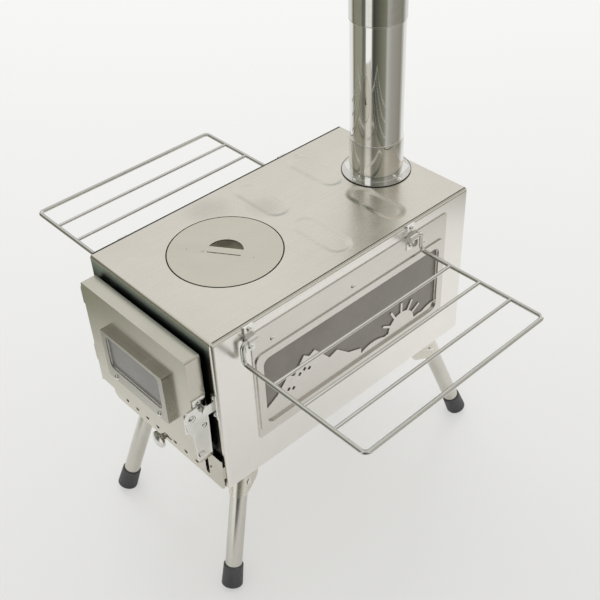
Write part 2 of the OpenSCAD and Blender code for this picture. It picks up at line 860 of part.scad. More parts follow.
module rack_clips(side) {
  bore = wire_r + clip_fit;
  tab = half_w + sheet;
  color(chrome) place() on_side(side) difference() {
    for (y = clip_ys) translate([0, y - clip_w / 2, rack_z]) {
      translate([half_w, 0, 4]) cube([sheet + clip_wall, clip_w, clip_tab_h - 1]);
      translate([half_w, 0, rack_axis_drop - plate_drop + 0.2])
        cube([sheet + clip_wall, clip_w, 4]);
      translate([tab, 0, -4 - clip_tab_h]) cube([clip_wall, clip_w, clip_tab_h + 8]);
      translate([rack_x, 0, 0]) bar_y(bore + clip_wall, clip_w);
      translate([tab, 0, -bore - clip_wall])
        cube([rack_x - tab, clip_w, 2 * (bore + clip_wall)]);
    }
    for (y = clip_ys) translate([rack_x, y - clip_w / 2 - 1, rack_z]) bar_y(bore, clip_w + 2);
    clip_screw_places() bar_x(screw_r, 20);
  }
}

module rack_clip_screws(side) {
  head_r = 3.4;
  color(chrome) place() on_side(side) clip_screw_places() {
    translate([3 + sheet + clip_wall, 0, 0]) rotate([0, 90, 0]) dome_head(head_r, 2.1);
    bar_x(screw_r, 3 + sheet + clip_wall);
  }
}

module rack(side) {
  out = [1, 0, 0];
  back = [0, 1, 0];
  down = [0, 0, -1];
  far_x = rack_x + rack_reach;
  plane_z = rack_z - (side > 0 ? rack_leg : rack_leg_left);
  y0 = rack_y;
  y1 = rack_y + rack_long;
  stub_front = clip_in_front + clip_w / 2;
  stub_back = clip_in_back + clip_w / 2;
  b = wire_bend;
  path = [
    [rack_x, y0 + stub_front, rack_z], [rack_x, y0, rack_z], [rack_x, y0, plane_z],
    [far_x, y0, plane_z], [far_x, y1, plane_z],
    [rack_x, y1, plane_z], [rack_x, y1, rack_z], [rack_x, y1 - stub_back, rack_z]
  ];
  dirs = [-back, down, out, back, -out, -down, -back];
  color(chrome) place() on_side(side) {
    for (k = [0:6])
      wire_run(path[k] + (k > 0 ? b : 0) * dirs[k], path[k + 1] - (k < 6 ? b : 0) * dirs[k], wire_r);
    for (k = [1:6]) wire_corner(path[k], dirs[k - 1], dirs[k], wire_r, b);
    for (k = [1:rack_bars]) translate([far_x - k * rack_pitch, y0, plane_z]) bar_y(bar_r, rack_long);
  }
}

// ---------------------------------------------------------------- door

module door_outline(inset) {
  w = door_wide - 2 * inset;
  h = door_high - 2 * inset;
  round_rect(w, h, max(2.5 - inset, 0.8));
}

module door_pan() {
  color(steel_door) place() difference() {
    translate([0, door_face, door_top - door_high / 2]) along_y(door_deep) door_outline(0);
    translate([0, door_face + sheet, door_top - door_high / 2]) along_y(door_deep) door_outline(sheet);
    translate([0, door_face - 1, sight_z]) along_y(5) round_rect(sight_w - 6, sight_h - 6, 3);
    door_screw_places() bar_y(door_screw_r, bezel_raise + 2 * sheet);
    latch_tab_rivet_place() translate([-5, 0, 0]) bar_x(tab_rivet_r, 10);
  }
}

// Inner tray that stiffens the door and holds the rope seal
module door_liner() {
  w = mouth_wide + 2 * lip_t + 2 * seal_w;
  h = mouth_high + 2 * lip_t + 2 * seal_w;
  y = door_face + sheet;
  back_y = -lip_out - seal_t;
  color(steel) place() translate([0, y, mouth_z]) difference() {
    along_y(back_y - y + 2) round_rect(w, h, 6);
    translate([0, back_y - y, 0]) along_y(5) round_rect(w - 2 * sheet, h - 2 * sheet, 5);
    translate([0, -1, 0]) along_y(back_y - y - sheet + 1) round_rect(w - 2 * sheet, h - 2 * sheet, 5);
    translate([0, -1, sight_z - mouth_z]) along_y(20) round_rect(sight_w, sight_h, 4);
  }
}

module door_rope_seal() {
  w = mouth_wide + 2 * lip_t + seal_w - 4;
  h = mouth_high + 2 * lip_t + seal_w - 4;
  color(rope) place() translate([0, -lip_out - seal_t, mouth_z]) along_y(seal_t) difference() {
    round_rect(w, h, 7);
    round_rect(w - 2 * seal_w, h - 2 * seal_w, 4);
  }
}

module door_screw_places() {
  for (x = [-1, 1])
    translate([bezel_x + x * bezel_screw_x, bezel_face, bezel_screw_z]) children();
}

module door_window_frame() {
  mid = bezel_top - bezel_h / 2;
  color(steel_door) place() difference() {
    translate([bezel_x, bezel_face, mid]) along_y(bezel_raise) round_rect(bezel_w, bezel_h, 2);
    translate([bezel_x, bezel_face + sheet, mid]) along_y(bezel_raise)
      round_rect(bezel_w - 2 * sheet, bezel_h - 2 * sheet, 1);
    translate([bezel_x, bezel_face - 1, sight_z]) along_y(5) round_rect(sight_w, sight_h, 6);
    door_screw_places() translate([0, -1, 0]) bar_y(door_screw_r, 6);
  }
}

module door_glass() {
  color([0.5, 0.5, 0.5, 0.7]) place()
    translate([bezel_x, door_face - glass_lap - door_glass_t, sight_z]) along_y(door_glass_t)
      round_rect(sight_w + 2 * glass_over, sight_h + 2 * glass_over, 2);
}

// Fibre frame that fills the space in front of and behind the door glass
module door_glass_gasket() {
  front = bezel_face + sheet;
  glass_front = door_face - glass_lap - door_glass_t;
  w = sight_w + 2 * glass_over;
  h = sight_h + 2 * glass_over;
  color(rope) place() translate([bezel_x, 0, sight_z]) {
    translate([0, front, 0]) along_y(glass_front - front) difference() {
      round_rect(w, h, 2);
      round_rect(w - 4, h - 4, 3);
    }
    translate([0, door_face - glass_lap, 0]) along_y(glass_lap) difference() {
      round_rect(w, h, 2);
      round_rect(w - 8, h - 8, 3);
    }
  }
}

module door_window_screws() {
  color(chrome) place() door_screw_places() {
    rotate([90, 0, 0]) dome_head(3.4, 2.2);
    bar_y(door_screw_r, bezel_raise + sheet);
    translate([0, bezel_raise + sheet, 0]) bar_y(2.8, 2);
  }
}

// Knuckles and leaves on the door's left flange
module door_hinge_leaves() {
  leaf_x = -door_wide / 2;
  leaf_t = hinge_out - knuckle_r + 0.6;
  color(chrome) place() for (drop = hinge_drops) translate([0, 0, top_z - drop]) difference() {
    union() {
      translate([hinge_x, hinge_y, -hinge_mid_h / 2]) cylinder(r = knuckle_r, h = hinge_mid_h);
      translate([leaf_x - leaf_t, hinge_y, -hinge_mid_h / 2]) cube([leaf_t, leaf_web, hinge_mid_h]);
      translate([leaf_x - leaf_t + 0.5, hinge_y + leaf_start, -leaf_h / 2])
        cube([leaf_t - 0.5, leaf_deep, leaf_h]);
    }
    translate([hinge_x, hinge_y, -hinge_arm_h]) cylinder(r = hinge_pin_r + hinge_fit, h = 2 * hinge_arm_h);
  }
}

// Arms that reach forward from the front frame along the door's left flange
module door_hinge_brackets() {
  arm_t = 1.5;
  notch_y = hinge_y + knuckle_r + 0.6;
  color(chrome) place() for (drop = hinge_drops) translate([0, 0, top_z - drop]) difference() {
    union() {
      translate([hinge_x - knuckle_r, hinge_y, -hinge_arm_h / 2]) cube([arm_t, -hinge_y, hinge_arm_h]);
      translate([hinge_x - knuckle_r, -arm_t, -hinge_arm_h / 2]) cube([5, arm_t, hinge_arm_h]);
      translate([hinge_x, hinge_y, -hinge_arm_h / 2]) cylinder(r = knuckle_r, h = hinge_arm_h);
    }
    translate([hinge_x - 10, hinge_y - 10, -hinge_mid_h / 2 - hinge_play])
      cube([20, 10 + notch_y - hinge_y, hinge_mid_h + 2 * hinge_play]);
    translate([hinge_x, hinge_y, -hinge_arm_h]) cylinder(r = hinge_pin_r, h = 2 * hinge_arm_h);
  }
}

module door_hinge_pins() {
  color(chrome) place() for (drop = hinge_drops)
    translate([hinge_x, hinge_y, top_z - drop - hinge_arm_h / 2]) {
      cylinder(r = hinge_pin_r, h = hinge_arm_h);
      translate([0, 0, hinge_arm_h]) cylinder(r = hinge_pin_r + 0.8, h = 0.8);
      translate([0, 0, -0.8]) cylinder(r = hinge_pin_r + 0.8, h = 0.8);
    }
}

// ---------------------------------------------------------------- latch

module latch_rivet_place() {
  translate([latch_x, -latch_y, latch_z]) children();
}

module latch_tab_rivet_place() {
  translate([latch_x, -tab_rivet_y, latch_z + tab_rivet_up]) children();
}

// Backing plate: wide beside the lever's head, a tab above it on the door's flange
module latch_base() {
  y0 = -latch_y;
  back_y = -6;
  low = -18;
  shoulder = 6;
  nose_r = 4;
  tab_y = door_face + 1;
  tab_top = 20;
  color(chrome) place() difference() {
    translate([latch_x, 0, latch_z]) along_x(latch_t) union() {
      translate([y0 - 8, low]) square([back_y - y0 + 8, shoulder - low]);
      translate([tab_y, low]) square([back_y - tab_y, tab_top - low]);
      translate([y0 - 8 + nose_r, shoulder]) square([tab_y - y0 + 8 - nose_r, nose_r]);
      translate([y0 - 8 + nose_r, shoulder]) circle(nose_r);
    }
    latch_rivet_place() translate([-5, 0, 0]) bar_x(latch_pin_r, 20);
    latch_tab_rivet_place() translate([-5, 0, 0]) bar_x(tab_rivet_r, 20);
  }
}

// Lever outline in YZ around its pivot: head, shoulder and long tail. Above the keeper's
// pin the head is cut back to an arc, so that the pin has a free way in and out
module lever_outline() {
  front = -lever_head_y;
  back = latch_y - 6;
  head_top = 11;
  round_r = 6;
  pin_y = latch_y - keeper_y;
  pin_reach = norm([pin_y, keeper_up]);
  clear_r = pin_reach - keeper_pin_r - keeper_throat;
  finger_z = keeper_up - keeper_pin_r - 0.3;
  difference() {
    union() {
      polygon([
        [front + round_r, head_top], [back, head_top], [back, -17], [back - 1, -lever_l + 1.5],
        [1, -lever_l], [-1.4, -26], [front + 2.6, -16], [front, head_top - round_r]
      ]);
      translate([front + round_r, head_top - round_r]) circle(round_r);
    }
    difference() {
      translate([0, finger_z]) square([2 * back, 2 * head_top]);
      circle(clear_r);
    }
  }
}

module latch_lever() {
  curl_r = 3;
  curl_w = 7;
  color(chrome) place() {
    difference() {
      translate([lever_x, -latch_y, latch_z]) along_x(latch_t) lever_outline();
      latch_rivet_place() bar_x(latch_pin_r + latch_fit, 20);
    }
    translate([lever_x + latch_t, -latch_y + 13.5, latch_z - 18]) rotate([0, 90, 0]) dome_head(3.4, 1);
    translate([lever_x + latch_t, -latch_y + 2, latch_z - lever_l + 8]) difference() {
      bar_y(curl_r, curl_w);
      translate([0, -1, 0]) bar_y(curl_r - sheet, curl_w + 2);
      translate([-10, -1, -10]) cube([10, curl_w + 2, 20]);
    }
  }
}

// Pivot of the lever and the rivet that fastens the plate's tab to the door
module latch_rivets() {
  out = latch_t + latch_play + latch_t + 0.2;
  tail_l = 1.2;
  color(chrome) place() {
    latch_rivet_place() {
      translate([-tail_l, 0, 0]) bar_x(latch_pin_r, tail_l + out);
      translate([out, 0, 0]) rotate([0, 90, 0]) dome_head(4.4, 1.6);
      translate([-tail_l, 0, 0]) bar_x(latch_pin_r + 0.9, tail_l);
    }
    latch_tab_rivet_place() {
      translate([-sheet - tail_l, 0, 0]) bar_x(tab_rivet_r, sheet + tail_l + latch_t);
      translate([latch_t, 0, 0]) rotate([0, 90, 0]) dome_head(3, 1.4);
      translate([-sheet - tail_l, 0, 0]) bar_x(tab_rivet_r + 1, tail_l);
    }
  }
}

module keeper_screw_places() {
  for (up = [-1, 1])
    translate([keeper_x + keeper_t, -2, latch_z + keeper_up + up * keeper_screw_up]) children();
}

// Keeper on the front frame: foot plate, round ear and the pin above the lever's step
module latch_keeper() {
  foot_w = 8;
  foot_h = 34;
  color(chrome) place() translate([0, 0, latch_z + keeper_up]) difference() {
    union() {
      translate([keeper_x - 2, -sheet, -foot_h / 2]) cube([foot_w, sheet, foot_h]);
      translate([keeper_x, -keeper_y, -keeper_side]) cube([keeper_t, keeper_y, 2 * keeper_side]);
      translate([keeper_x, -keeper_y, 0]) bar_x(keeper_side, keeper_t);
      translate([lever_x, -keeper_y, 0]) bar_x(keeper_pin_r, keeper_x - lever_x + 0.2);
    }
    translate([0, 0, -latch_z - keeper_up]) keeper_screw_places() bar_y(screw_r, 10);
  }
}

module latch_keeper_screws() {
  color(chrome) place() keeper_screw_places() {
    translate([0, 2 - sheet, 0]) rotate([90, 0, 0]) dome_head(2.8, 1.6);
    translate([0, 2 - sheet, 0]) bar_y(screw_r, sheet + frame_t + 2);
  }
}

// ---------------------------------------------------------------- legs

// Frame of one leg: origin at its pivot, +X outward along the lean, Y the pivot axis
module leg_frame(c) {
  translate([
    c[0] * leg_out,
    c[1] < 0 ? leg_y : body_l - leg_y,
    pivot_z
  ]) rotate([0, 0, atan2(c[1] * cos(leg_azimuth), c[0] * sin(leg_azimuth))]) children();
}

// Side view of a bracket, from its rounded inner corner to beyond the nose
module cheek_outline(span) {
  translate([-cheek_in, cheek_r - cheek_low]) square([cheek_in + span, span - cheek_r]);
  translate([cheek_r - cheek_in, -cheek_low]) square([cheek_in - cheek_r + span, span]);
  translate([cheek_r - cheek_in, cheek_r - cheek_low]) circle(cheek_r);
}

// One bracket: two cheeks joined by a half-round nose that the leg leans on, with a spacer
// block inside each cheek that reaches to the flat of the tube
module leg_bracket() {
  r_in = bracket_in;
  r_out = r_in + sheet;
  span = cheek_low + leg_pivot_drop;
  block_in = sheet / 2;
  block_t = r_in + block_in - leg_flat - leg_gap;
  difference() {
    union() {
      intersection() {
        rotate([0, -leg_lean, 0]) translate([0, 0, -2 * span]) linear_extrude(4 * span)
          difference() {
            union() {
              circle(r_out);
              translate([-2 * span, -r_out]) square([2 * span, 2 * r_out]);
            }
            circle(r_in);
            translate([-2 * span - 1, -r_in]) square([2 * span + 1, 2 * r_in]);
          }
        translate([0, r_out + 1, 0]) rotate([90, 0, 0]) linear_extrude(2 * r_out + 2)
          cheek_outline(span);
      }
      translate([-cheek_in, -r_in - block_in, leg_pivot_drop - sheet])
        cube([cheek_fold, 2 * (r_in + block_in), sheet]);
      for (y = [leg_flat + leg_gap, -r_in - block_in])
        rotate([0, -leg_lean, 0]) translate([-block_r, y, -block_r])
          cube([block_r - block_clear, block_t, 2 * block_r]);
    }
    translate([0, r_out + 1, 0]) rotate([90, 0, 0]) cylinder(r = leg_pin_r, h = 2 * r_out + 2);
  }
}

module leg_brackets() {
  color(steel) place() for (c = corners) leg_frame(c) leg_bracket();
}

module leg_rivets() {
  face = bracket_in + sheet;
  color(chrome) place() for (c = corners) leg_frame(c) {
    translate([0, face, 0]) rotate([90, 0, 0]) cylinder(r = leg_pin_r, h = 2 * face);
    for (s = [-1, 1]) translate([0, s * face, 0]) rotate([-s * 90, 0, 0]) dome_head(4.2, 1.4);
  }
}

// Tube with a shoulder below the pivot, flats above it and an end rounded about the pivot
module leg(c) {
  end = 5;
  r = leg_d / 2;
  flat_in = leg_flat - leg_wall;
  color(steel) place() leg_frame(c) rotate([0, -leg_lean, 0]) difference() {
    intersection() {
      translate([0, 0, -leg_reach + end]) cylinder(r = r, h = leg_reach - end + r);
      union() {
        translate([-r - 1, -r - 1, -leg_reach])
          cube([2 * r + 2, 2 * r + 2, leg_reach - leg_shoulder]);
        translate([-r - 1, -leg_flat, -leg_reach]) cube([2 * r + 2, 2 * leg_flat, leg_reach]);
        rotate([90, 0, 0]) translate([0, 0, -leg_flat]) cylinder(r = leg_end_r, h = 2 * leg_flat);
      }
    }
    translate([0, 0, -leg_reach])
      cylinder(r = r - leg_wall, h = leg_reach - leg_shoulder - leg_wall);
    intersection() {
      translate([0, 0, -leg_reach]) cylinder(r = r - leg_wall, h = leg_reach + r + 1);
      translate([-r, -flat_in, -leg_reach]) cube([2 * r, 2 * flat_in, leg_reach + r + 1]);
    }
    translate([0, r + 1, 0]) rotate([90, 0, 0]) cylinder(r = leg_pin_r + leg_fit, h = 2 * r + 2);
  }
}

// Rubber cup on the tube's end, pressed flat on the floor
module foot(c) {
  end = 5;
  r = leg_d / 2;
  top_r = foot_r - 0.9;
  color(rubber) place() intersection() {
    leg_frame(c) rotate([0, -leg_lean, 0]) translate([0, 0, -leg_reach]) difference() {
      rotate_extrude() polygon([
        [0, 0], [foot_r - foot_edge, 0], [foot_r, foot_edge], [top_r, foot_h - 1],
        [top_r - 0.6, foot_h], [0, foot_h]
      ]);
      translate([0, 0, end]) cylinder(r = r, h = foot_h);
    }
    translate([-half_w - leg_reach, -leg_reach, 0])
      cube([body_w + 2 * leg_reach, body_l + 2 * leg_reach, leg_clear]);
  }
}

// ---------------------------------------------------------------- nodes

body_shell();
base_plate();
back_panel();
front_frame();
lid_seat();
fire_grate();
flue_collar();
flue_collar_screws();
air_panel();
air_guides();
air_slide();
air_knob();
window_plate(1);  // window_plate_right
window_cutout(1);  // window_cutout_right
window_glass(1);  // window_glass_right
window_gasket(1);  // window_gasket_right
window_retainer(1);  // window_retainer_right
window_screws(1);  // window_screws_right
window_plate(-1);  // window_plate_left
window_cutout(-1);  // window_cutout_left
window_glass(-1);  // window_glass_left
window_gasket(-1);  // window_gasket_left
window_retainer(-1);  // window_retainer_left
window_screws(-1);  // window_screws_left
rack_clips(1);  // rack_clips_right
rack_clip_screws(1);  // rack_clip_screws_right
rack_clips(-1);  // rack_clips_left
rack_clip_screws(-1);  // rack_clip_screws_left
rack(1);  // rack_right
rack(-1);  // rack_left
leg_brackets();
leg_rivets();
door_hinge_brackets();
door_hinge_pins();
latch_keeper();
latch_keeper_screws();
cooking_lid();
lid_grip_pocket();
pipe_lower();
pipe_upper();
door_pan();
door_liner();
door_rope_seal();
door_window_frame();
door_glass();
door_glass_gasket();
door_window_screws();
door_hinge_leaves();
latch_base();
latch_lever();
latch_rivets();
leg(corner_front_right);  // leg_front_right
leg(corner_front_left);  // leg_front_left
leg(corner_back_right);  // leg_back_right
leg(corner_back_left);  // leg_back_left
foot(corner_front_right);  // foot_front_right
foot(corner_front_left);  // foot_front_left
foot(corner_back_right);  // foot_back_right
foot(corner_back_left);  // foot_back_left
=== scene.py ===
"""Folding tent wood stove of stainless sheet, dressed for its picture.

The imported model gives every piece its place. Here the visible sheet parts get their rolled
edges and pressed forms, and every surface its finish.
"""
import json
import math

import bpy
from mathutils import Matrix, Vector

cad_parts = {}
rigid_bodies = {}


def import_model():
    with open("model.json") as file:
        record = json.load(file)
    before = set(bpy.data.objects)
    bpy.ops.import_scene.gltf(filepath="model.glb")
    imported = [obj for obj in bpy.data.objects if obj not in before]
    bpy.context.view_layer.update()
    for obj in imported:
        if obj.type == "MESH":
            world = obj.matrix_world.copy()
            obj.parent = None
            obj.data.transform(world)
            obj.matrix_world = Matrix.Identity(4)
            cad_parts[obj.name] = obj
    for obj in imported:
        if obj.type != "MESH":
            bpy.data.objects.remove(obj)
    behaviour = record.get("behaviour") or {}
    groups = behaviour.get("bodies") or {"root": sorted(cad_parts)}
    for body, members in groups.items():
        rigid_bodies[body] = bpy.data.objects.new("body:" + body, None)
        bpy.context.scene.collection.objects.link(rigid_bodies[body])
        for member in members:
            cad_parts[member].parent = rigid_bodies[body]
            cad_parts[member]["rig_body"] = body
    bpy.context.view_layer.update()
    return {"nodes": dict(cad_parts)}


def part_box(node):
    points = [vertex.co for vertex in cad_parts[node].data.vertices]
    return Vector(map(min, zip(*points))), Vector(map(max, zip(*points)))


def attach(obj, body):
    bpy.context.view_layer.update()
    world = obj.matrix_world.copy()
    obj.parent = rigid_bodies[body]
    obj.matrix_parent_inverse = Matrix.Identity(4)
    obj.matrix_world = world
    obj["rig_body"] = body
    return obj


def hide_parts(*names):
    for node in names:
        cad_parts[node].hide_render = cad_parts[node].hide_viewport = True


MM = 0.001

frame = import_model()
nodes = frame["nodes"]

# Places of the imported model
LIP_OUT = 9 * MM  # the mouth's lip stands this far out of the firebox's front
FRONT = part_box("front_frame")[0][1] + LIP_OUT
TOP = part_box("flue_collar")[0][2]
FLUE = sum((Vector(c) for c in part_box("pipe_upper")), Vector()) / 2
LID = sum((Vector(c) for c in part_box("cooking_lid")), Vector()) / 2
BODY = [Vector(c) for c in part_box("body_shell")]
CHAMBER = (BODY[0] + BODY[1]) / 2

# Forms of the sheet
SHEET = 1.2 * MM
BEND = 4 * MM  # radius of the two long top bends
RIM = 4 * MM  # radius of the rolled front edge
PRESS = 1 * MM  # depth of the pressed panels
PRESS_SLOPE = 5 * MM  # width of the slope round a pressed panel
PRESS_SOFT = 2.2 * MM  # how far the slope's edges are rounded

# Air slots, drawn lower than they are packed, and the door's lower fold, drawn higher
SLOT_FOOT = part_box("air_panel")[0][2] + 12 * MM
SLOT_END = 3.05 * MM  # height of a slot's round end
SLOT_SPAN = 87 * MM
SLOT_MORE = 4 * MM
SKIRT_EDGE = 1.3 * MM
SKIRT_LESS = 3 * MM

# Axes along which a sheet was rolled
LENGTHWISE = (0, 1, 0)
CROSSWISE = (1, 0, 0)
UPRIGHT = (0, 0, 1)


# ------------------------------------------------------------------ shader helpers

def add(tree, kind, x=0, y=0, **settings):
    """A node of this kind at (x, y), its properties and input values set by name."""
    node = tree.nodes.new("ShaderNode" + kind)
    node.location = (x, y)
    for name, value in settings.items():
        if hasattr(node, name):
            setattr(node, name, value)
        else:
            node.inputs[name.replace("_", " ")].default_value = value
    return node


def join(tree, a, b):
    """Links output a to input b."""
    tree.links.new(a, b)


def new_group(name, inputs, outputs):
    """A node group with float, colour or vector sockets, its input and its output node."""
    group = bpy.data.node_groups.new(name, "ShaderNodeTree")
    kinds = {"f": "NodeSocketFloat", "c": "NodeSocketColor", "v": "NodeSocketVector"}
    for label, kind, value in inputs:
        socket = group.interface.new_socket(name=label, in_out="INPUT", socket_type=kinds[kind])
        socket.default_value = value
    for label, kind in outputs:
        group.interface.new_socket(name=label, in_out="OUTPUT", socket_type=kinds[kind])
    start = group.nodes.new("NodeGroupInput")
    end = group.nodes.new("NodeGroupOutput")
    start.location, end.location = (-900, 0), (900, 0)
    return group, start, end


def use(tree, group, x=0, y=0, **values):
    """A placed copy of a node group with its own input values."""
    node = tree.nodes.new("ShaderNodeGroup")
    node.node_tree = group
    node.location = (x, y)
    for name, value in values.items():
        node.inputs[name.replace("_", " ")].default_value = value
    return node


def rolled_grain():
    """Fine straight lines of rolled sheet, along one axis of the piece."""
    coarse_share = 0.22
    group, start, end = new_group(
        "rolled grain",
        [("Along", "v", (1, 0, 0)), ("Fineness", "f", 2600.0), ("Stretch", "f", 60.0)],
        [("Lines", "f"), ("Fine lines", "f")],
    )
    place = add(group, "TexCoord", -700, 200)
    # the part of the place along the grain is squeezed, so that the noise draws lines
    dot = add(group, "VectorMath", -500, 0, operation="DOT_PRODUCT")
    join(group, place.outputs["Object"], dot.inputs[0])
    join(group, start.outputs["Along"], dot.inputs[1])
    shrink = add(group, "Math", -500, -200, operation="DIVIDE")
    shrink.inputs[0].default_value = 1.0
    join(group, start.outputs["Stretch"], shrink.inputs[1])
    less = add(group, "Math", -300, -200, operation="SUBTRACT")
    join(group, shrink.outputs[0], less.inputs[0])
    less.inputs[1].default_value = 1.0
    amount = add(group, "Math", -150, -100, operation="MULTIPLY")
    join(group, dot.outputs["Value"], amount.inputs[0])
    join(group, less.outputs[0], amount.inputs[1])
    back = add(group, "VectorMath", 0, -100, operation="SCALE")
    join(group, start.outputs["Along"], back.inputs[0])
    join(group, amount.outputs[0], back.inputs["Scale"])
    squeezed = add(group, "VectorMath", 150, 100, operation="ADD")
    join(group, place.outputs["Object"], squeezed.inputs[0])
    join(group, back.outputs["Vector"], squeezed.inputs[1])
    coarse = add(group, "TexNoise", 350, 200, Detail=3.0, Roughness=0.6)
    broader = add(group, "Math", 150, -200, operation="MULTIPLY")
    broader.inputs[1].default_value = coarse_share
    join(group, start.outputs["Fineness"], broader.inputs[0])
    join(group, broader.outputs[0], coarse.inputs["Scale"])
    fine = add(group, "TexNoise", 350, -100, Detail=2.0, Roughness=0.5)
    join(group, start.outputs["Fineness"], fine.inputs["Scale"])
    for noise in (coarse, fine):
        join(group, squeezed.outputs["Vector"], noise.inputs["Vector"])
    join(group, coarse.outputs["Fac"], end.inputs["Lines"])
    join(group, fine.outputs["Fac"], end.inputs["Fine lines"])
    return group


def handling():
    """Soft clouds of wiping and handling."""
    group, start, end = new_group("handling", [("Size", "f", 9.0)], [("Clouds", "f")])
    place = add(group, "TexCoord", -600, 0)
    clouds = add(group, "TexNoise", -300, 200, Detail=4.0, Roughness=0.62, Distortion=0.4)
    join(group, place.outputs["Object"], clouds.inputs["Vector"])
    join(group, start.outputs["Size"], clouds.inputs["Scale"])
    join(group, clouds.outputs["Fac"], end.inputs["Clouds"])
    return group


def worn_and_shaded_edges():
    """Mask that is 1 on the convex edges of a piece, broken up by noise."""
    least, most = 0.5, 1.4
    group, start, end = new_group(
        "worn and shaded edges", [("Low", "f", 0.51), ("High", "f", 0.58)], [("Edges", "f")]
    )
    shape = add(group, "NewGeometry", -600, 100)
    place = add(group, "TexCoord", -600, -200)
    noise = add(group, "TexNoise", -400, -200, Scale=160.0, Detail=3.0)
    join(group, place.outputs["Object"], noise.inputs["Vector"])
    spread = add(group, "MapRange", -200, 100)
    join(group, shape.outputs["Pointiness"], spread.inputs["Value"])
    join(group, start.outputs["Low"], spread.inputs["From Min"])
    join(group, start.outputs["High"], spread.inputs["From Max"])
    broken = add(group, "Math", 100, 0, operation="MULTIPLY", use_clamp=True)
    lift = add(group, "MapRange", -200, -200)
    lift.inputs["To Min"].default_value = least
    lift.inputs["To Max"].default_value = most
    join(group, noise.outputs["Fac"], lift.inputs["Value"])
    join(group, spread.outputs["Result"], broken.inputs[0])
    join(group, lift.outputs["Result"], broken.inputs[1])
    join(group, broken.outputs[0], end.inputs["Edges"])
    return group


GRAIN = rolled_grain()
HANDLING = handling()
EDGES = worn_and_shaded_edges()


def plain_material(name, **settings):
    """A new material with one Principled shader, its constant values set."""
    mat = bpy.data.materials.new(name)
    mat.use_nodes = True
    tree = mat.node_tree
    shader = tree.nodes["Principled BSDF"]
    for label, value in settings.items():
        shader.inputs[label.replace("_", " ")].default_value = value
    return mat, tree, shader


def mixed(tree, fac, a, b, x=0, y=0):
    """Colour a to colour b by a mask."""
    mix = add(tree, "Mix", x, y, data_type="RGBA")
    join(tree, fac, mix.inputs["Factor"])
    for value, socket in ((a, mix.inputs["A"]), (b, mix.inputs["B"])):
        if isinstance(value, tuple):
            socket.default_value = (*value, 1)
        else:
            join(tree, value, socket)
    return mix.outputs["Result"]


def ranged(tree, value, low, high, x=0, y=0, start=0.0, stop=1.0):
    """Value from start...stop spread to low...high."""
    spread = add(tree, "MapRange", x, y)
    join(tree, value, spread.inputs["Value"])
    limits = (("From Min", start), ("From Max", stop), ("To Min", low), ("To Max", high))
    for label, number in limits:
        spread.inputs[label].default_value = number
    return spread.outputs["Result"]


def relief_of(tree, height, shader, strength, depth, x, y):
    """Fine relief from a height that varies over the surface."""
    relief = add(tree, "Bump", x, y, Strength=strength, Distance=depth)
    join(tree, height, relief.inputs["Height"])
    join(tree, relief.outputs["Normal"], shader.inputs["Normal"])


# ------------------------------------------------------------------ finishes

def heat_tinted(tree, colour, clouds, heat):
    """The colour with heat tints over it, each a place, a size and a colour with its share."""
    place = add(tree, "TexCoord", -1100, 500)
    for spot, size, tint in heat:
        gap = add(tree, "VectorMath", -900, 600, operation="DISTANCE")
        join(tree, place.outputs["Object"], gap.inputs[0])
        gap.inputs[1].default_value = spot
        ragged = add(tree, "Math", -700, 600, operation="MULTIPLY_ADD")
        join(tree, clouds, ragged.inputs[0])
        ragged.inputs[1].default_value = size * 0.9
        join(tree, gap.outputs["Value"], ragged.inputs[2])
        near = ranged(tree, ragged.outputs[0], tint[3], 0.0, -500, 600, size * 0.8, size * 1.6)
        colour = mixed(tree, near, colour, tint[:3], 100, 300)
    return colour


def satin_steel(name, light, dark, along, rough=(0.2, 0.26), heat=()):
    """Rolled stainless sheet: grain along one axis, clouds of handling, and heat tints."""
    line_share, line_shade = 0.05, 0.8
    mat, tree, shader = plain_material(name, Metallic=1.0)
    grain = use(tree, GRAIN, -900, 200, Along=along)
    hand = use(tree, HANDLING, -900, -100)
    clouds = ranged(tree, hand.outputs["Clouds"], 0.0, 1.0, -650, 0, 0.35, 0.68)
    base = mixed(tree, clouds, dark, light, -400, 200)
    lines = ranged(tree, grain.outputs["Lines"], 0.0, line_share, -650, 300, 0.35, 0.7)
    colour = mixed(tree, lines, base, tuple(c * line_shade for c in dark), -200, 200)
    if heat:
        colour = heat_tinted(tree, colour, hand.outputs["Clouds"], heat)
    join(tree, colour, shader.inputs["Base Color"])
    wiped = ranged(tree, hand.outputs["Clouds"], rough[0], rough[1], -400, -100, 0.3, 0.7)
    lined = ranged(tree, grain.outputs["Lines"], -0.02, 0.03, -400, -250, 0.3, 0.7)
    grained = add(tree, "Math", -200, -100, operation="ADD")
    join(tree, wiped, grained.inputs[0])
    join(tree, lined, grained.inputs[1])
    join(tree, grained.outputs[0], shader.inputs["Roughness"])
    relief_of(tree, grain.outputs["Fine lines"], shader, 0.002, 0.0002, -200, -400)
    return mat


def shade_painted_downwards(mat, high, low, painted_reflection, black):
    """Painted shade that darkens the colour from a painted reflection at height high to black at
    height low.
    """
    tree = mat.node_tree
    shader = tree.nodes["Principled BSDF"]
    place = add(tree, "TexCoord", -700, 700)
    parts = add(tree, "SeparateXYZ", -500, 700)
    join(tree, place.outputs["Object"], parts.inputs[0])
    painted_shade = ranged(tree, parts.outputs["Z"], 0.0, 1.0, -300, 700, low, high)
    join(tree, mixed(tree, painted_shade, black, painted_reflection, 0, 600), shader.inputs["Base Color"])


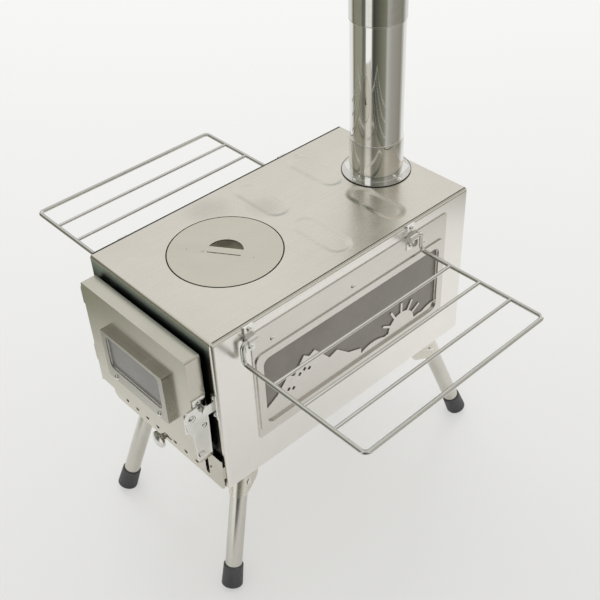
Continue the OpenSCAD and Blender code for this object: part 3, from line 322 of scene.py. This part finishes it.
def bright_steel(name, light, dark, rough, bump=0.08, edge=(0.95, 0.94, 0.92)):
    """Polished hardware, with faint wiping marks and a colour on its convex edges: bright wear by
    default, painted shadow and reflection where the pipe gives a dark one.
    """
    mat, tree, shader = plain_material(name, Metallic=1.0)
    hand = use(tree, HANDLING, -800, 0, Size=60.0)
    edges = use(tree, EDGES, -800, -250)
    base = mixed(tree, hand.outputs["Clouds"], dark, light, -500, 100)
    worn_and_shaded = mixed(tree, edges.outputs["Edges"], base, edge, -250, 100)
    join(tree, worn_and_shaded, shader.inputs["Base Color"])
    wiped = ranged(tree, hand.outputs["Clouds"], rough[0], rough[1], -250, -150)
    join(tree, wiped, shader.inputs["Roughness"])
    relief_of(tree, hand.outputs["Clouds"], shader, bump, 0.0003, -250, -350)
    return mat


def smoked_glass(name, colour, rough):
    """Heat-resistant glass over a dark chamber, with faint clouds of soot."""
    soot_shade, rough_spread = 0.82, 0.08
    mat, tree, shader = plain_material(name, IOR=1.5, Transmission_Weight=0.25, Metallic=0.0)
    hand = use(tree, HANDLING, -700, 0, Size=14.0)
    clouds = ranged(tree, hand.outputs["Clouds"], 0.0, 1.0, -500, 0, 0.35, 0.65)
    smoked = mixed(tree, clouds, tuple(soot_shade * c for c in colour), colour, -300, 100)
    join(tree, smoked, shader.inputs["Base Color"])
    wiped = ranged(tree, hand.outputs["Clouds"], rough, rough + rough_spread, -300, -150)
    join(tree, wiped, shader.inputs["Roughness"])
    return mat


def fibre_rope():
    """Woven fibre of the seals."""
    mat, tree, shader = plain_material("fibre rope", Metallic=0.0)
    place = add(tree, "TexCoord", -900, 0)
    cells = add(tree, "TexVoronoi", -650, 0, Scale=900.0)
    join(tree, place.outputs["Object"], cells.inputs["Vector"])
    deep, raised = (0.62, 0.59, 0.52), (0.82, 0.80, 0.74)
    woven = mixed(tree, cells.outputs["Distance"], deep, raised, -350, 100)
    join(tree, woven, shader.inputs["Base Color"])
    matt = ranged(tree, cells.outputs["Distance"], 0.75, 0.95, -350, -100)
    join(tree, matt, shader.inputs["Roughness"])
    relief_of(tree, cells.outputs["Distance"], shader, 0.5, 0.0005, -350, -300)
    return mat


def moulded_rubber():
    """Dark rubber with a dry bloom and scuffs."""
    black, bloom, scuffed = (0.022, 0.023, 0.026), (0.055, 0.057, 0.06), (0.12, 0.12, 0.12)
    mat, tree, shader = plain_material("moulded rubber", Metallic=0.0)
    hand = use(tree, HANDLING, -700, 0, Size=55.0)
    edges = use(tree, EDGES, -700, -250)
    base = mixed(tree, hand.outputs["Clouds"], black, bloom, -400, 100)
    worn_and_shaded = mixed(tree, edges.outputs["Edges"], base, scuffed, -200, 100)
    join(tree, worn_and_shaded, shader.inputs["Base Color"])
    matt = ranged(tree, hand.outputs["Clouds"], 0.32, 0.6, -400, -150)
    join(tree, matt, shader.inputs["Roughness"])
    relief_of(tree, hand.outputs["Clouds"], shader, 0.25, 0.0004, -200, -350)
    return mat


# Heat tints: colour, and how much of it shows
FADED = (0.62, 0.57, 0.52, 0.5)
SCORCH = (0.33, 0.25, 0.17, 0.75)
STAIN = (0.5, 0.43, 0.35, 0.5)

top_steel = satin_steel(
    "satin sheet", (0.81, 0.772, 0.695), (0.745, 0.708, 0.63), LENGTHWISE, rough=(0.24, 0.30),
    heat=[
        (LID + Vector((-0.075, 0.035, 0)), 0.03, FADED),
        (LID + Vector((-0.03, 0.085, 0)), 0.022, FADED),
    ],
)
lid_steel = satin_steel(
    "satin lid", (0.70, 0.665, 0.575), (0.64, 0.605, 0.515), (0.83, 0.56, 0),
    heat=[
        (LID + Vector((-0.004, -0.011, 0)), 0.0016, SCORCH),
        (LID + Vector((0.032, 0.013, 0)), 0.0014, SCORCH),
        (LID + Vector((-0.032, -0.028, 0)), 0.0014, SCORCH),
        (LID + Vector((-0.014, 0.017, 0)), 0.0013, SCORCH),
        (LID + Vector((-0.016, -0.018, 0)), 0.003, STAIN),
    ],
)
# Lighter copy of the sheet for the outer sides: painted light of the bright floor they reflect
lit_side_steel = satin_steel("satin side sheet painted lighter", (0.93, 0.915, 0.875), (0.88, 0.865, 0.82), LENGTHWISE)
plate_steel = satin_steel(
    "satin window plate", (0.76, 0.735, 0.695), (0.71, 0.685, 0.64), LENGTHWISE
)
door_steel = satin_steel(
    "satin door sheet", (0.70, 0.67, 0.59), (0.60, 0.575, 0.50), CROSSWISE, rough=(0.2, 0.28)
)
# Darker copy of the sheet for the door's window frame: painted shade of the dark reflection on its
# top face
shaded_bezel_steel = satin_steel(
    "satin bezel painted darker", (0.56, 0.55, 0.50), (0.46, 0.45, 0.40), CROSSWISE, rough=(0.22, 0.3)
)
leg_steel = satin_steel(
    "satin tube", (0.72, 0.705, 0.66), (0.60, 0.585, 0.53), UPRIGHT, rough=(0.14, 0.22)
)
# Dark sheet for the chamber's insides and hidden parts: soot, and painted shade of the gaps and
# recesses they are seen through
soot_and_shade_steel = satin_steel(
    "soot and painted shade sheet", (0.13, 0.125, 0.11), (0.05, 0.047, 0.042), LENGTHWISE, rough=(0.45, 0.6)
)
pocket_steel = satin_steel(
    "smoked pocket", (0.78, 0.75, 0.66), (0.62, 0.59, 0.50), CROSSWISE, rough=(0.35, 0.5)
)
# The mouth plate's face: a teal painted reflection below the top's front edge, darkening downwards
# into painted shade round the door
shaded_frame_steel = satin_steel(
    "frame with painted shade", (0.22, 0.215, 0.19), (0.13, 0.125, 0.11), CROSSWISE, rough=(0.3, 0.42)
)
shade_painted_downwards(
    shaded_frame_steel, TOP - 3 * MM, TOP - 23 * MM, painted_reflection=(0.50, 0.60, 0.59), black=(0.05, 0.05, 0.045)
)
hardware = bright_steel("polished hardware", (0.82, 0.81, 0.78), (0.62, 0.61, 0.57), (0.08, 0.2))
wire_steel = bright_steel("polished wire", (0.74, 0.73, 0.70), (0.60, 0.59, 0.55), (0.16, 0.26))
# Its edges take a darker colour: painted shadow of the gap under the flange and painted reflection
# of the dark room
pipe_steel = bright_steel(
    "mirror pipe", (0.88, 0.87, 0.85), (0.82, 0.81, 0.78), (0.03, 0.08), bump=0.004,
    edge=(0.5, 0.49, 0.44),
)
side_glass = smoked_glass("smoked side glass", (0.30, 0.28, 0.24), 0.10)
door_glass = smoked_glass("smoked door glass", (0.25, 0.248, 0.23), 0.14)
rope = fibre_rope()
rubber = moulded_rubber()


# ------------------------------------------------------------------ making pieces

WELD = 0.00001  # corners nearer than this are one
FLAT_TURN = math.radians(0.3)
SMOOTH_TURN = 40
HAIR = 0.05 * MM
TOUCH = 1e-6


def clear_selection():
    """Nothing is selected."""
    for thing in bpy.context.view_layer.objects:
        thing.select_set(False)


def hold(obj):
    """Makes obj the one selected and active thing."""
    clear_selection()
    obj.select_set(True)
    bpy.context.view_layer.objects.active = obj


def finish_with(obj, kind, name, **settings):
    """Adds a modifier and applies it."""
    hold(obj)
    mod = obj.modifiers.new(name, kind)
    for label, value in settings.items():
        setattr(mod, label, value)
    bpy.ops.object.modifier_apply(modifier=mod.name)


def smooth(obj, degrees):
    """Shades the piece smooth, apart from edges sharper than this."""
    hold(obj)
    bpy.ops.object.shade_smooth_by_angle(angle=math.radians(degrees))


def seat(obj, node, material):
    """The piece stands for a node: it takes the finish, rides with the node and hides it."""
    obj.data.materials.clear()
    obj.data.materials.append(material)
    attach(obj, nodes[node]["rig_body"])
    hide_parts(node)


def welded_copy(node):
    """A copy of a node with its loose triangles joined to a clean closed mesh."""
    mesh = nodes[node].data.copy()
    mesh.name = node
    obj = bpy.data.objects.new(node + "_dressed", mesh)
    bpy.context.scene.collection.objects.link(obj)
    hold(obj)
    bpy.ops.object.mode_set(mode="EDIT")
    bpy.ops.mesh.select_all(action="SELECT")
    bpy.ops.mesh.remove_doubles(threshold=WELD)
    bpy.ops.mesh.dissolve_limited(angle_limit=FLAT_TURN)
    bpy.ops.object.mode_set(mode="OBJECT")
    return obj


def rounded(obj, width):
    """Rolls the sharp edges of a piece."""
    finish_with(
        obj, "BEVEL", "rolled edge", width=width, segments=2, limit_method="ANGLE",
        angle_limit=math.radians(30), use_clamp_overlap=True, miter_outer="MITER_ARC",
    )
    smooth(obj, SMOOTH_TURN)
    finish_with(obj, "WEIGHTED_NORMAL", "flat faces", keep_sharp=True, weight=80)


def choose(obj, kind, test):
    """Enters edit mode with only the vertices, edges or faces selected that pass the test."""
    hold(obj)
    bpy.ops.object.mode_set(mode="EDIT")
    bpy.ops.mesh.select_mode(type=kind)
    bpy.ops.mesh.select_all(action="DESELECT")
    bpy.ops.object.mode_set(mode="OBJECT")
    parts = {"VERT": obj.data.vertices, "EDGE": obj.data.edges, "FACE": obj.data.polygons}[kind]
    for part in parts:
        part.select = test(part)
    bpy.ops.object.mode_set(mode="EDIT")


def trimmed(obj, place, away):
    """Cuts off what lies beyond a plane, on the side to which away points, and caps the cut."""
    hold(obj)
    bpy.ops.object.mode_set(mode="EDIT")
    bpy.ops.mesh.select_all(action="SELECT")
    bpy.ops.mesh.bisect(plane_co=place, plane_no=away, use_fill=True, clear_outer=True)
    bpy.ops.object.mode_set(mode="OBJECT")


def soot_and_shade_inside(obj):
    """Gives the faces that look towards the middle of the chamber the dark finish: soot, and
    painted shade of the closed chamber.
    """
    obj.data.materials.append(soot_and_shade_steel)
    for face in obj.data.polygons:
        if (face.center - CHAMBER).dot(face.normal) < 0:
            face.material_index = 1


def painted_lit_sides(obj):
    """Gives the outer faces of both sides the lighter finish: painted light of the bright floor
    that the sides reflect.
    """
    sideways = 0.75
    obj.data.materials.append(lit_side_steel)
    last = len(obj.data.materials) - 1
    for face in obj.data.polygons:
        if face.material_index == 0 and abs(face.normal.x) > sideways:
            face.material_index = last


def longer_slots(obj):
    """Draws the lower ends of the upright air slots further down."""
    low, high = SLOT_FOOT - 0.1 * MM, SLOT_FOOT + SLOT_END
    choose(obj, "VERT", lambda v: low < v.co.z < high and abs(v.co.x) < SLOT_SPAN)
    bpy.ops.transform.translate(value=(0, 0, -SLOT_MORE))
    bpy.ops.object.mode_set(mode="OBJECT")


def shorter_skirt(obj):
    """Lifts the lower fold of the door, so that the slots show below it."""
    low = min(v.co.z for v in obj.data.vertices)
    choose(obj, "VERT", lambda v: v.co.z < low + SKIRT_EDGE)
    bpy.ops.transform.translate(value=(0, 0, SKIRT_LESS))
    bpy.ops.object.mode_set(mode="OBJECT")


RESHAPED = {"air_panel": longer_slots, "air_slide": longer_slots, "door_pan": shorter_skirt}


def dressed(node, material, width):
    """The node's own form with rolled edges and its finish."""
    obj = welded_copy(node)
    if node in RESHAPED:
        RESHAPED[node](obj)
    rounded(obj, width)
    seat(obj, node, material)
    return obj


# ------------------------------------------------------------------ dressing

SHELL_EDGE = 0.25 * MM


def soft_presses(shell):
    """Gives the pressed panels of the top their shallow, rounded slopes."""
    low = TOP - PRESS
    choose(shell, "FACE", lambda f: f.normal.z > 0.99 and abs(f.center.z - low) < HAIR)
    bpy.ops.mesh.inset(thickness=PRESS_SLOPE, use_even_offset=True)
    bpy.ops.object.mode_set(mode="OBJECT")
    inner = {v for f in shell.data.polygons if f.select for v in f.vertices}
    points = shell.data.vertices
    choose(shell, "VERT", lambda v: abs(v.co.z - low) < HAIR and v.index not in inner)
    bpy.ops.transform.translate(value=(0, 0, PRESS))
    bpy.ops.mesh.select_all(action="SELECT")
    bpy.ops.mesh.remove_doubles(threshold=0.02 * MM)
    bpy.ops.object.mode_set(mode="OBJECT")
    slopes = {
        key for f in shell.data.polygons if 0.9 < f.normal.z < 0.995 and f.center.z > low
        for key in f.edge_keys if abs(points[key[0]].co.z - points[key[1]].co.z) < 0.01 * MM
    }
    choose(shell, "EDGE", lambda e: e.key in slopes)
    bpy.ops.mesh.bevel(offset=PRESS_SOFT, segments=4, affect="EDGES")
    bpy.ops.object.mode_set(mode="OBJECT")


def firebox_shell():
    """The folded shell, with its pressed panels, up to where the front rim is rolled in."""
    shell = welded_copy("body_shell")
    soft_presses(shell)
    trimmed(shell, (0, FRONT + RIM, 0), (0, -1, 0))
    rounded(shell, SHELL_EDGE)
    seat(shell, "body_shell", top_steel)
    soot_and_shade_inside(shell)
    painted_lit_sides(shell)


def front_rim():
    """The rolled front edge of the shell: a quarter round of sheet along both sides and top."""
    spare = 10 * MM
    height = TOP - BODY[0].z + spare
    clear_selection()
    bpy.ops.mesh.primitive_cube_add(size=1, location=(0, FRONT + RIM / 2, TOP - height / 2))
    rim = bpy.context.object
    rim.name = "front_rim"
    rim.scale = (BODY[1].x - BODY[0].x, RIM, height)
    bpy.ops.object.transform_apply(location=True, rotation=True, scale=True)
    ends = rim.data.vertices
    choose(rim, "EDGE", lambda e: all(abs(ends[i].co.z - TOP) < TOUCH for i in e.vertices)
           and abs(ends[e.vertices[0]].co.x - ends[e.vertices[1]].co.x) < TOUCH)
    bpy.ops.mesh.bevel(offset=BEND, segments=6, affect="EDGES")
    bpy.ops.object.mode_set(mode="OBJECT")
    ends = rim.data.vertices
    choose(rim, "EDGE", lambda e: all(abs(ends[i].co.y - FRONT) < TOUCH for i in e.vertices))
    bpy.ops.mesh.bevel(offset=RIM * 0.99, segments=8, affect="EDGES")
    bpy.ops.object.mode_set(mode="OBJECT")
    trimmed(rim, (0, 0, BODY[0].z), (0, 0, -1))
    choose(rim, "FACE", lambda f: abs(f.normal.y) > 0.999 or f.normal.z < -0.99)
    bpy.ops.mesh.delete(type="FACE")
    bpy.ops.object.mode_set(mode="OBJECT")
    finish_with(rim, "SOLIDIFY", "sheet", thickness=SHEET, offset=-1)
    smooth(rim, SMOOTH_TURN)
    seat(rim, "body_shell", top_steel)
    painted_lit_sides(rim)


def mouth_plate():
    """The plate round the door's mouth, painted dark as shade below a painted reflection, and cut
    back to where the rim ends.
    """
    plate = welded_copy("front_frame")
    longer_slots(plate)
    for side in (-1, 1):
        trimmed(plate, (side * (BODY[1].x - RIM), 0, 0), (side, 0, 0))
    trimmed(plate, (0, 0, TOP - RIM), (0, 0, 1))
    rounded(plate, SHELL_EDGE)
    seat(plate, "front_frame", shaded_frame_steel)


def collar_shadow_ring():
    """A dark ring round the foot of the flue collar's flange: painted shadow of the gap under the
    flange.
    """
    shadow_reach, thick = 0.8 * MM, 1.1 * MM
    low, high = (Vector(c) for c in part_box("flue_collar"))
    centre = (low + high) / 2
    clear_selection()
    bpy.ops.mesh.primitive_cylinder_add(
        vertices=128, radius=(high.x - low.x) / 2 + shadow_reach, depth=thick,
        end_fill_type="NOTHING", location=(centre.x, centre.y, TOP + thick / 2),
    )
    ring = bpy.context.object
    ring.name = "collar_shadow_ring"
    bpy.ops.object.transform_apply(location=True, rotation=True, scale=True)
    finish_with(ring, "SOLIDIFY", "shadow ring", thickness=0.7 * MM, offset=-1)
    finish_with(ring, "BEVEL", "soft edge", width=0.12 * MM, segments=2)
    smooth(ring, SMOOTH_TURN)
    seat(ring, "flue_collar", soot_and_shade_steel)


firebox_shell()
front_rim()
mouth_plate()
collar_shadow_ring()

# Finish, width of the rolled edges in mm, and the nodes that are dressed with them
PLAN = [
    (top_steel, 0.25, ["back_panel", "base_plate"]),
    (soot_and_shade_steel, 0.25, ["lid_seat", "door_liner"]),
    (plate_steel, 0.5, ["window_plate_right", "window_plate_left"]),
    (plate_steel, 0.2, ["window_cutout_right", "window_cutout_left"]),
    (door_steel, 0.9, ["door_pan"]),
    (shaded_bezel_steel, 0.9, ["door_window_frame"]),
    (door_steel, 0.3, ["air_panel"]),
    (lid_steel, 0.3, ["cooking_lid"]),
    (top_steel, 0.2, ["air_slide", "leg_brackets"]),
    (soot_and_shade_steel, 0.2, ["fire_grate", "air_guides"]),
    (pocket_steel, 0.2, ["lid_grip_pocket"]),
    (hardware, 0.25, [
        "air_knob", "rack_clips_right", "rack_clips_left", "latch_keeper", "latch_base",
        "latch_lever", "door_hinge_brackets", "door_hinge_leaves", "door_hinge_pins",
    ]),
    (pipe_steel, 0.3, ["flue_collar", "pipe_lower", "pipe_upper"]),
    (wire_steel, 0.1, ["rack_right", "rack_left"]),
    (leg_steel, 0.2, ["leg_front_right", "leg_front_left", "leg_back_right", "leg_back_left"]),
    (rubber, 0.5, ["foot_front_right", "foot_front_left", "foot_back_right", "foot_back_left"]),
]
# Pieces whose inward faces take the dark finish: soot, and painted shade of the chamber
SOOT_AND_SHADE_BEHIND = ("back_panel", "base_plate", "door_pan", "cooking_lid")
for material, width, names in PLAN:
    for node in names:
        piece = dressed(node, material, width * MM)
        if node in SOOT_AND_SHADE_BEHIND:
            soot_and_shade_inside(piece)

# Nodes that keep their packed form and only take a finish
KEPT = [
    (hardware, [
        "flue_collar_screws", "window_screws_right", "window_screws_left",
        "rack_clip_screws_right", "rack_clip_screws_left", "leg_rivets", "latch_keeper_screws",
        "latch_rivets", "door_window_screws",
    ]),
    (side_glass, ["window_glass_right", "window_glass_left"]),
    (door_glass, ["door_glass"]),
    (rope, ["window_gasket_right", "window_gasket_left", "door_rope_seal", "door_glass_gasket"]),
    (soot_and_shade_steel, ["window_retainer_right", "window_retainer_left"]),
]
for material, names in KEPT:
    for node in names:
        nodes[node].data.materials.clear()
        nodes[node].data.materials.append(material)
        smooth(nodes[node], 35)


# ------------------------------------------------------------------ studio

# Fixed directions on the floor, towards the photograph's camera and to the picture's right
TO_CAMERA = Vector((0.683, -0.730, 0))
TO_RIGHT = Vector((0.730, 0.683, 0))
# The room that metal shows: directions in degrees, 0 towards the camera, and their colours
ROOM = [
    (-180, (0.86, 0.86, 0.85)), (-126, (0.86, 0.86, 0.85)), (-118, (0.6, 0.59, 0.56)),
    (-111, (0.19, 0.17, 0.14)), (-100, (0.30, 0.30, 0.23)), (-68, (0.30, 0.31, 0.24)),
    (-60, (0.13, 0.13, 0.11)), (-50, (0.20, 0.20, 0.19)), (-46, (1.0, 1.0, 0.98)),
    (-26, (1.0, 1.0, 0.98)), (-21, (0.17, 0.17, 0.16)), (-15, (0.06, 0.06, 0.055)),
    (4, (0.13, 0.135, 0.10)), (32, (0.24, 0.24, 0.19)), (40, (0.50, 0.50, 0.47)),
    (60, (0.36, 0.355, 0.32)), (108, (0.28, 0.265, 0.225)), (122, (0.55, 0.54, 0.51)),
    (130, (0.80, 0.80, 0.785)), (180, (0.86, 0.86, 0.85)),
]
FLOOR_SIZE = 16
FLOOR_NEAR = (0.78, 0.78, 0.77)
FLOOR_MIDDLE = (0.84, 0.84, 0.83)
FLOOR_FAR = (0.92, 0.92, 0.91)
FLOOR_GLOW = 0.55
FLOOR_SHEEN = 0.035
PALE = (0.86, 0.86, 0.85, 1)
ROOM_STARTS, ROOM_FULL = 0.56, 0.72  # distances from the flue, in metal


def room_around():
    """The room as bright and dark uprights, by the direction in which it is seen."""
    group, start, end = new_group("room around", [("Direction", "v", (1, 0, 0))], [("Room", "c")])
    parts = []
    for k, axis in enumerate((TO_RIGHT, TO_CAMERA)):
        dot = add(group, "VectorMath", -600, 200 - 200 * k, operation="DOT_PRODUCT")
        join(group, start.outputs["Direction"], dot.inputs[0])
        dot.inputs[1].default_value = axis
        parts.append(dot.outputs["Value"])
    turn = add(group, "Math", -400, 0, operation="ARCTAN2")
    join(group, parts[0], turn.inputs[0])
    join(group, parts[1], turn.inputs[1])
    share = ranged(group, turn.outputs[0], 0.0, 1.0, -200, 0, -math.pi, math.pi)
    ramp = add(group, "ValToRGB", 0, 0)
    stops = ramp.color_ramp.elements
    while len(stops) > 1:
        stops.remove(stops[-1])
    for k, (angle, colour) in enumerate(ROOM):
        stop = stops[0] if k == 0 else stops.new((angle + 180) / 360)
        stop.position = (angle + 180) / 360
        stop.color = (*colour, 1)
    join(group, share, ramp.inputs["Fac"])
    join(group, ramp.outputs["Color"], end.inputs["Room"])
    return group


ROOM_AROUND = room_around()


def studio_floor():
    """A wide pale floor, lighter towards the back of the studio, that shows the room in metal."""
    bpy.ops.mesh.primitive_plane_add(size=FLOOR_SIZE, location=(0, 0, 0))
    floor = bpy.context.object
    floor.name = "studio_floor"
    mat = bpy.data.materials.new("studio floor")
    mat.use_nodes = True
    tree = mat.node_tree
    tree.nodes.clear()
    out = add(tree, "OutputMaterial", 1100, 0)
    place = add(tree, "TexCoord", -1300, 0)
    depth = add(tree, "VectorMath", -1100, 0, operation="DOT_PRODUCT")
    join(tree, place.outputs["Object"], depth.inputs[0])
    depth.inputs[1].default_value = -TO_CAMERA
    ramp = add(tree, "ValToRGB", -700, 0)
    away = ranged(tree, depth.outputs["Value"], 0.0, 1.0, -900, 0, -0.4, 1.6)
    join(tree, away, ramp.inputs["Fac"])
    stops = ramp.color_ramp.elements
    stops[0].color = (*FLOOR_NEAR, 1)
    stops[1].color = (*FLOOR_FAR, 1)
    stops.new(0.32).color = (*FLOOR_MIDDLE, 1)
    # seen by the camera: partly its own light, partly the lamps', so that the shadow stays soft
    lit = add(tree, "BsdfDiffuse", -300, 100)
    join(tree, ramp.outputs["Color"], lit.inputs["Color"])
    glow = add(tree, "Emission", -300, -50)
    join(tree, ramp.outputs["Color"], glow.inputs["Color"])
    seen = add(tree, "MixShader", -50, 0, Fac=FLOOR_GLOW)
    join(tree, lit.outputs[0], seen.inputs[1])
    join(tree, glow.outputs[0], seen.inputs[2])
    sheen = add(tree, "BsdfGlossy", -300, -200, Roughness=0.2)
    sheen.inputs["Color"].default_value = (1, 1, 1, 1)
    glossy = add(tree, "MixShader", 150, 0, Fac=FLOOR_SHEEN)
    join(tree, seen.outputs[0], glossy.inputs[1])
    join(tree, sheen.outputs[0], glossy.inputs[2])
    # seen in metal: the plain floor close by, and the room further out
    near = add(tree, "BsdfDiffuse", -300, -400, Color=PALE)
    off = add(tree, "VectorMath", -1100, -500, operation="SUBTRACT")
    join(tree, place.outputs["Object"], off.inputs[0])
    off.inputs[1].default_value = (FLUE.x, FLUE.y, 0)
    reach = add(tree, "VectorMath", -900, -600, operation="LENGTH")
    join(tree, off.outputs["Vector"], reach.inputs[0])
    room = use(tree, ROOM_AROUND, -700, -500)
    join(tree, off.outputs["Vector"], room.inputs["Direction"])
    far = add(tree, "Emission", -300, -500)
    join(tree, room.outputs["Room"], far.inputs["Color"])
    outer = ranged(tree, reach.outputs["Value"], 0.0, 1.0, -500, -650, ROOM_STARTS, ROOM_FULL)
    mirrored = add(tree, "MixShader", 150, -400)
    join(tree, outer, mirrored.inputs[0])
    join(tree, near.outputs[0], mirrored.inputs[1])
    join(tree, far.outputs[0], mirrored.inputs[2])
    path = add(tree, "LightPath", 300, 400)
    in_metal = add(tree, "MixShader", 600, -100)
    join(tree, path.outputs["Is Glossy Ray"], in_metal.inputs[0])
    join(tree, near.outputs[0], in_metal.inputs[1])
    join(tree, mirrored.outputs[0], in_metal.inputs[2])
    pick = add(tree, "MixShader", 850, 0)
    join(tree, path.outputs["Is Camera Ray"], pick.inputs[0])
    join(tree, in_metal.outputs[0], pick.inputs[1])
    join(tree, glossy.outputs[0], pick.inputs[2])
    join(tree, pick.outputs[0], out.inputs["Surface"])
    floor.data.materials.append(mat)


def area_light(name, place, size, power, colour):
    """A soft square lamp that looks at the stove and isn't seen in metal."""
    stove = Vector((0, 0, 0.2))
    bpy.ops.object.light_add(type="AREA", location=place)
    light = bpy.context.object
    light.name = name
    light.data.shape = "RECTANGLE"
    light.data.size, light.data.size_y = size, size
    light.data.energy = power
    light.data.color = colour
    light.visible_glossy = False
    light.rotation_euler = (stove - Vector(place)).to_track_quat("-Z", "Y").to_euler()


clear_selection()
studio_floor()
area_light("window light", (-1.6, 0.9, 2.4), 2.2, 16, (1.0, 0.99, 0.97))
area_light("room light", (1.8, -2.2, 2.6), 2.4, 10, (1.0, 0.985, 0.96))


def studio_light():
    """An even white dome; metal sees the room low down and the soft ceiling above it."""
    zenith, horizon = (0.66, 0.655, 0.64, 1), (1.0, 1.0, 0.99, 1)
    ceiling_steps = ((0.3, 0.96), (0.57, 0.86), (0.82, 0.73))
    left_tint, right_tint, no_tint = (0.45, 0.49, 0.5), (2.0, 2.0, 2.0), (1.0, 1.0, 1.0)
    world = bpy.data.worlds.new("studio")
    bpy.context.scene.world = world
    world.use_nodes = True
    sky = world.node_tree
    sky.nodes.clear()
    out = add(sky, "OutputWorld", 900, 0)
    even = add(sky, "Background", 300, 200, Color=(0.86, 0.855, 0.845, 1), Strength=1.0)
    seen = add(sky, "Background", 300, -400, Color=(0.92, 0.92, 0.915, 1), Strength=1.0)
    place = add(sky, "TexCoord", -900, 0)
    parts = add(sky, "SeparateXYZ", -700, 100)
    join(sky, place.outputs["Generated"], parts.inputs[0])
    ceiling = add(sky, "ValToRGB", -450, 150)
    stops = ceiling.color_ramp.elements
    stops[0].color = horizon
    stops[1].color = zenith
    for height, shade in ceiling_steps:
        stops.new(height).color = (shade, shade, shade * 0.985, 1)
    join(sky, parts.outputs["Z"], ceiling.inputs["Fac"])
    # low down, the room is darker towards the picture's left and brighter towards its right
    room = use(sky, ROOM_AROUND, -450, -100)
    join(sky, place.outputs["Generated"], room.inputs["Direction"])
    side = add(sky, "VectorMath", -700, -400, operation="DOT_PRODUCT")
    join(sky, place.outputs["Generated"], side.inputs[0])
    side.inputs[1].default_value = TO_RIGHT
    to_side = ranged(sky, side.outputs["Value"], 0.0, 1.0, -500, -400, -0.1, 0.5)
    tint = mixed(sky, to_side, left_tint, right_tint, -350, -400)
    above = ranged(sky, parts.outputs["Z"], 0.0, 1.0, -500, -550, 0.3, 0.5)
    tinted = add(sky, "Mix", -250, -50, data_type="RGBA", blend_type="MULTIPLY", Factor=1.0)
    join(sky, room.outputs["Room"], tinted.inputs["A"])
    join(sky, mixed(sky, above, tint, no_tint, -300, -550), tinted.inputs["B"])
    high = ranged(sky, parts.outputs["Z"], 0.0, 1.0, -450, -250, 0.5, 0.8)
    shown = mixed(sky, high, tinted.outputs["Result"], ceiling.outputs["Color"], -100, 0)
    around = add(sky, "Background", 300, 0)
    join(sky, shown, around.inputs["Color"])
    path = add(sky, "LightPath", 300, 500)
    in_metal = add(sky, "MixShader", 550, 100)
    join(sky, path.outputs["Is Glossy Ray"], in_metal.inputs[0])
    join(sky, even.outputs[0], in_metal.inputs[1])
    join(sky, around.outputs[0], in_metal.inputs[2])
    pick = add(sky, "MixShader", 720, 0)
    join(sky, path.outputs["Is Camera Ray"], pick.inputs[0])
    join(sky, in_metal.outputs[0], pick.inputs[1])
    join(sky, seen.outputs[0], pick.inputs[2])
    join(sky, pick.outputs[0], out.inputs["Surface"])


studio_light()


# ------------------------------------------------------------------ camera

AZIMUTH, ELEVATION, ROLL = math.radians(48.803), math.radians(39.552), math.radians(-2.846)
EYE = (0.67692, FRONT - 0.38433, TOP + 0.61651)
SENSOR = 36
FOCAL_PIXELS = 965.6
PHOTO_PIXELS = 600


def photo_camera():
    """The photograph's camera: its place, its turn and its focal length."""
    back = Vector((math.sin(AZIMUTH) * math.cos(ELEVATION),
                   -math.cos(AZIMUTH) * math.cos(ELEVATION), math.sin(ELEVATION)))
    level = Vector((math.cos(AZIMUTH), math.sin(AZIMUTH), 0))
    upward = back.cross(level)
    right = level * math.cos(ROLL) + upward * math.sin(ROLL)
    up = upward * math.cos(ROLL) - level * math.sin(ROLL)
    data = bpy.data.cameras.new("photo_camera")
    data.sensor_width = SENSOR
    data.lens = SENSOR * FOCAL_PIXELS / PHOTO_PIXELS
    data.clip_start = 0.01
    camera = bpy.data.objects.new("photo_camera", data)
    bpy.context.scene.collection.objects.link(camera)
    turn = Matrix((right, up, back)).transposed().to_4x4()
    camera.matrix_world = Matrix.Translation(EYE) @ turn
    bpy.context.scene.camera = camera


photo_camera()
bpy.context.scene.view_settings.view_transform = "Standard"
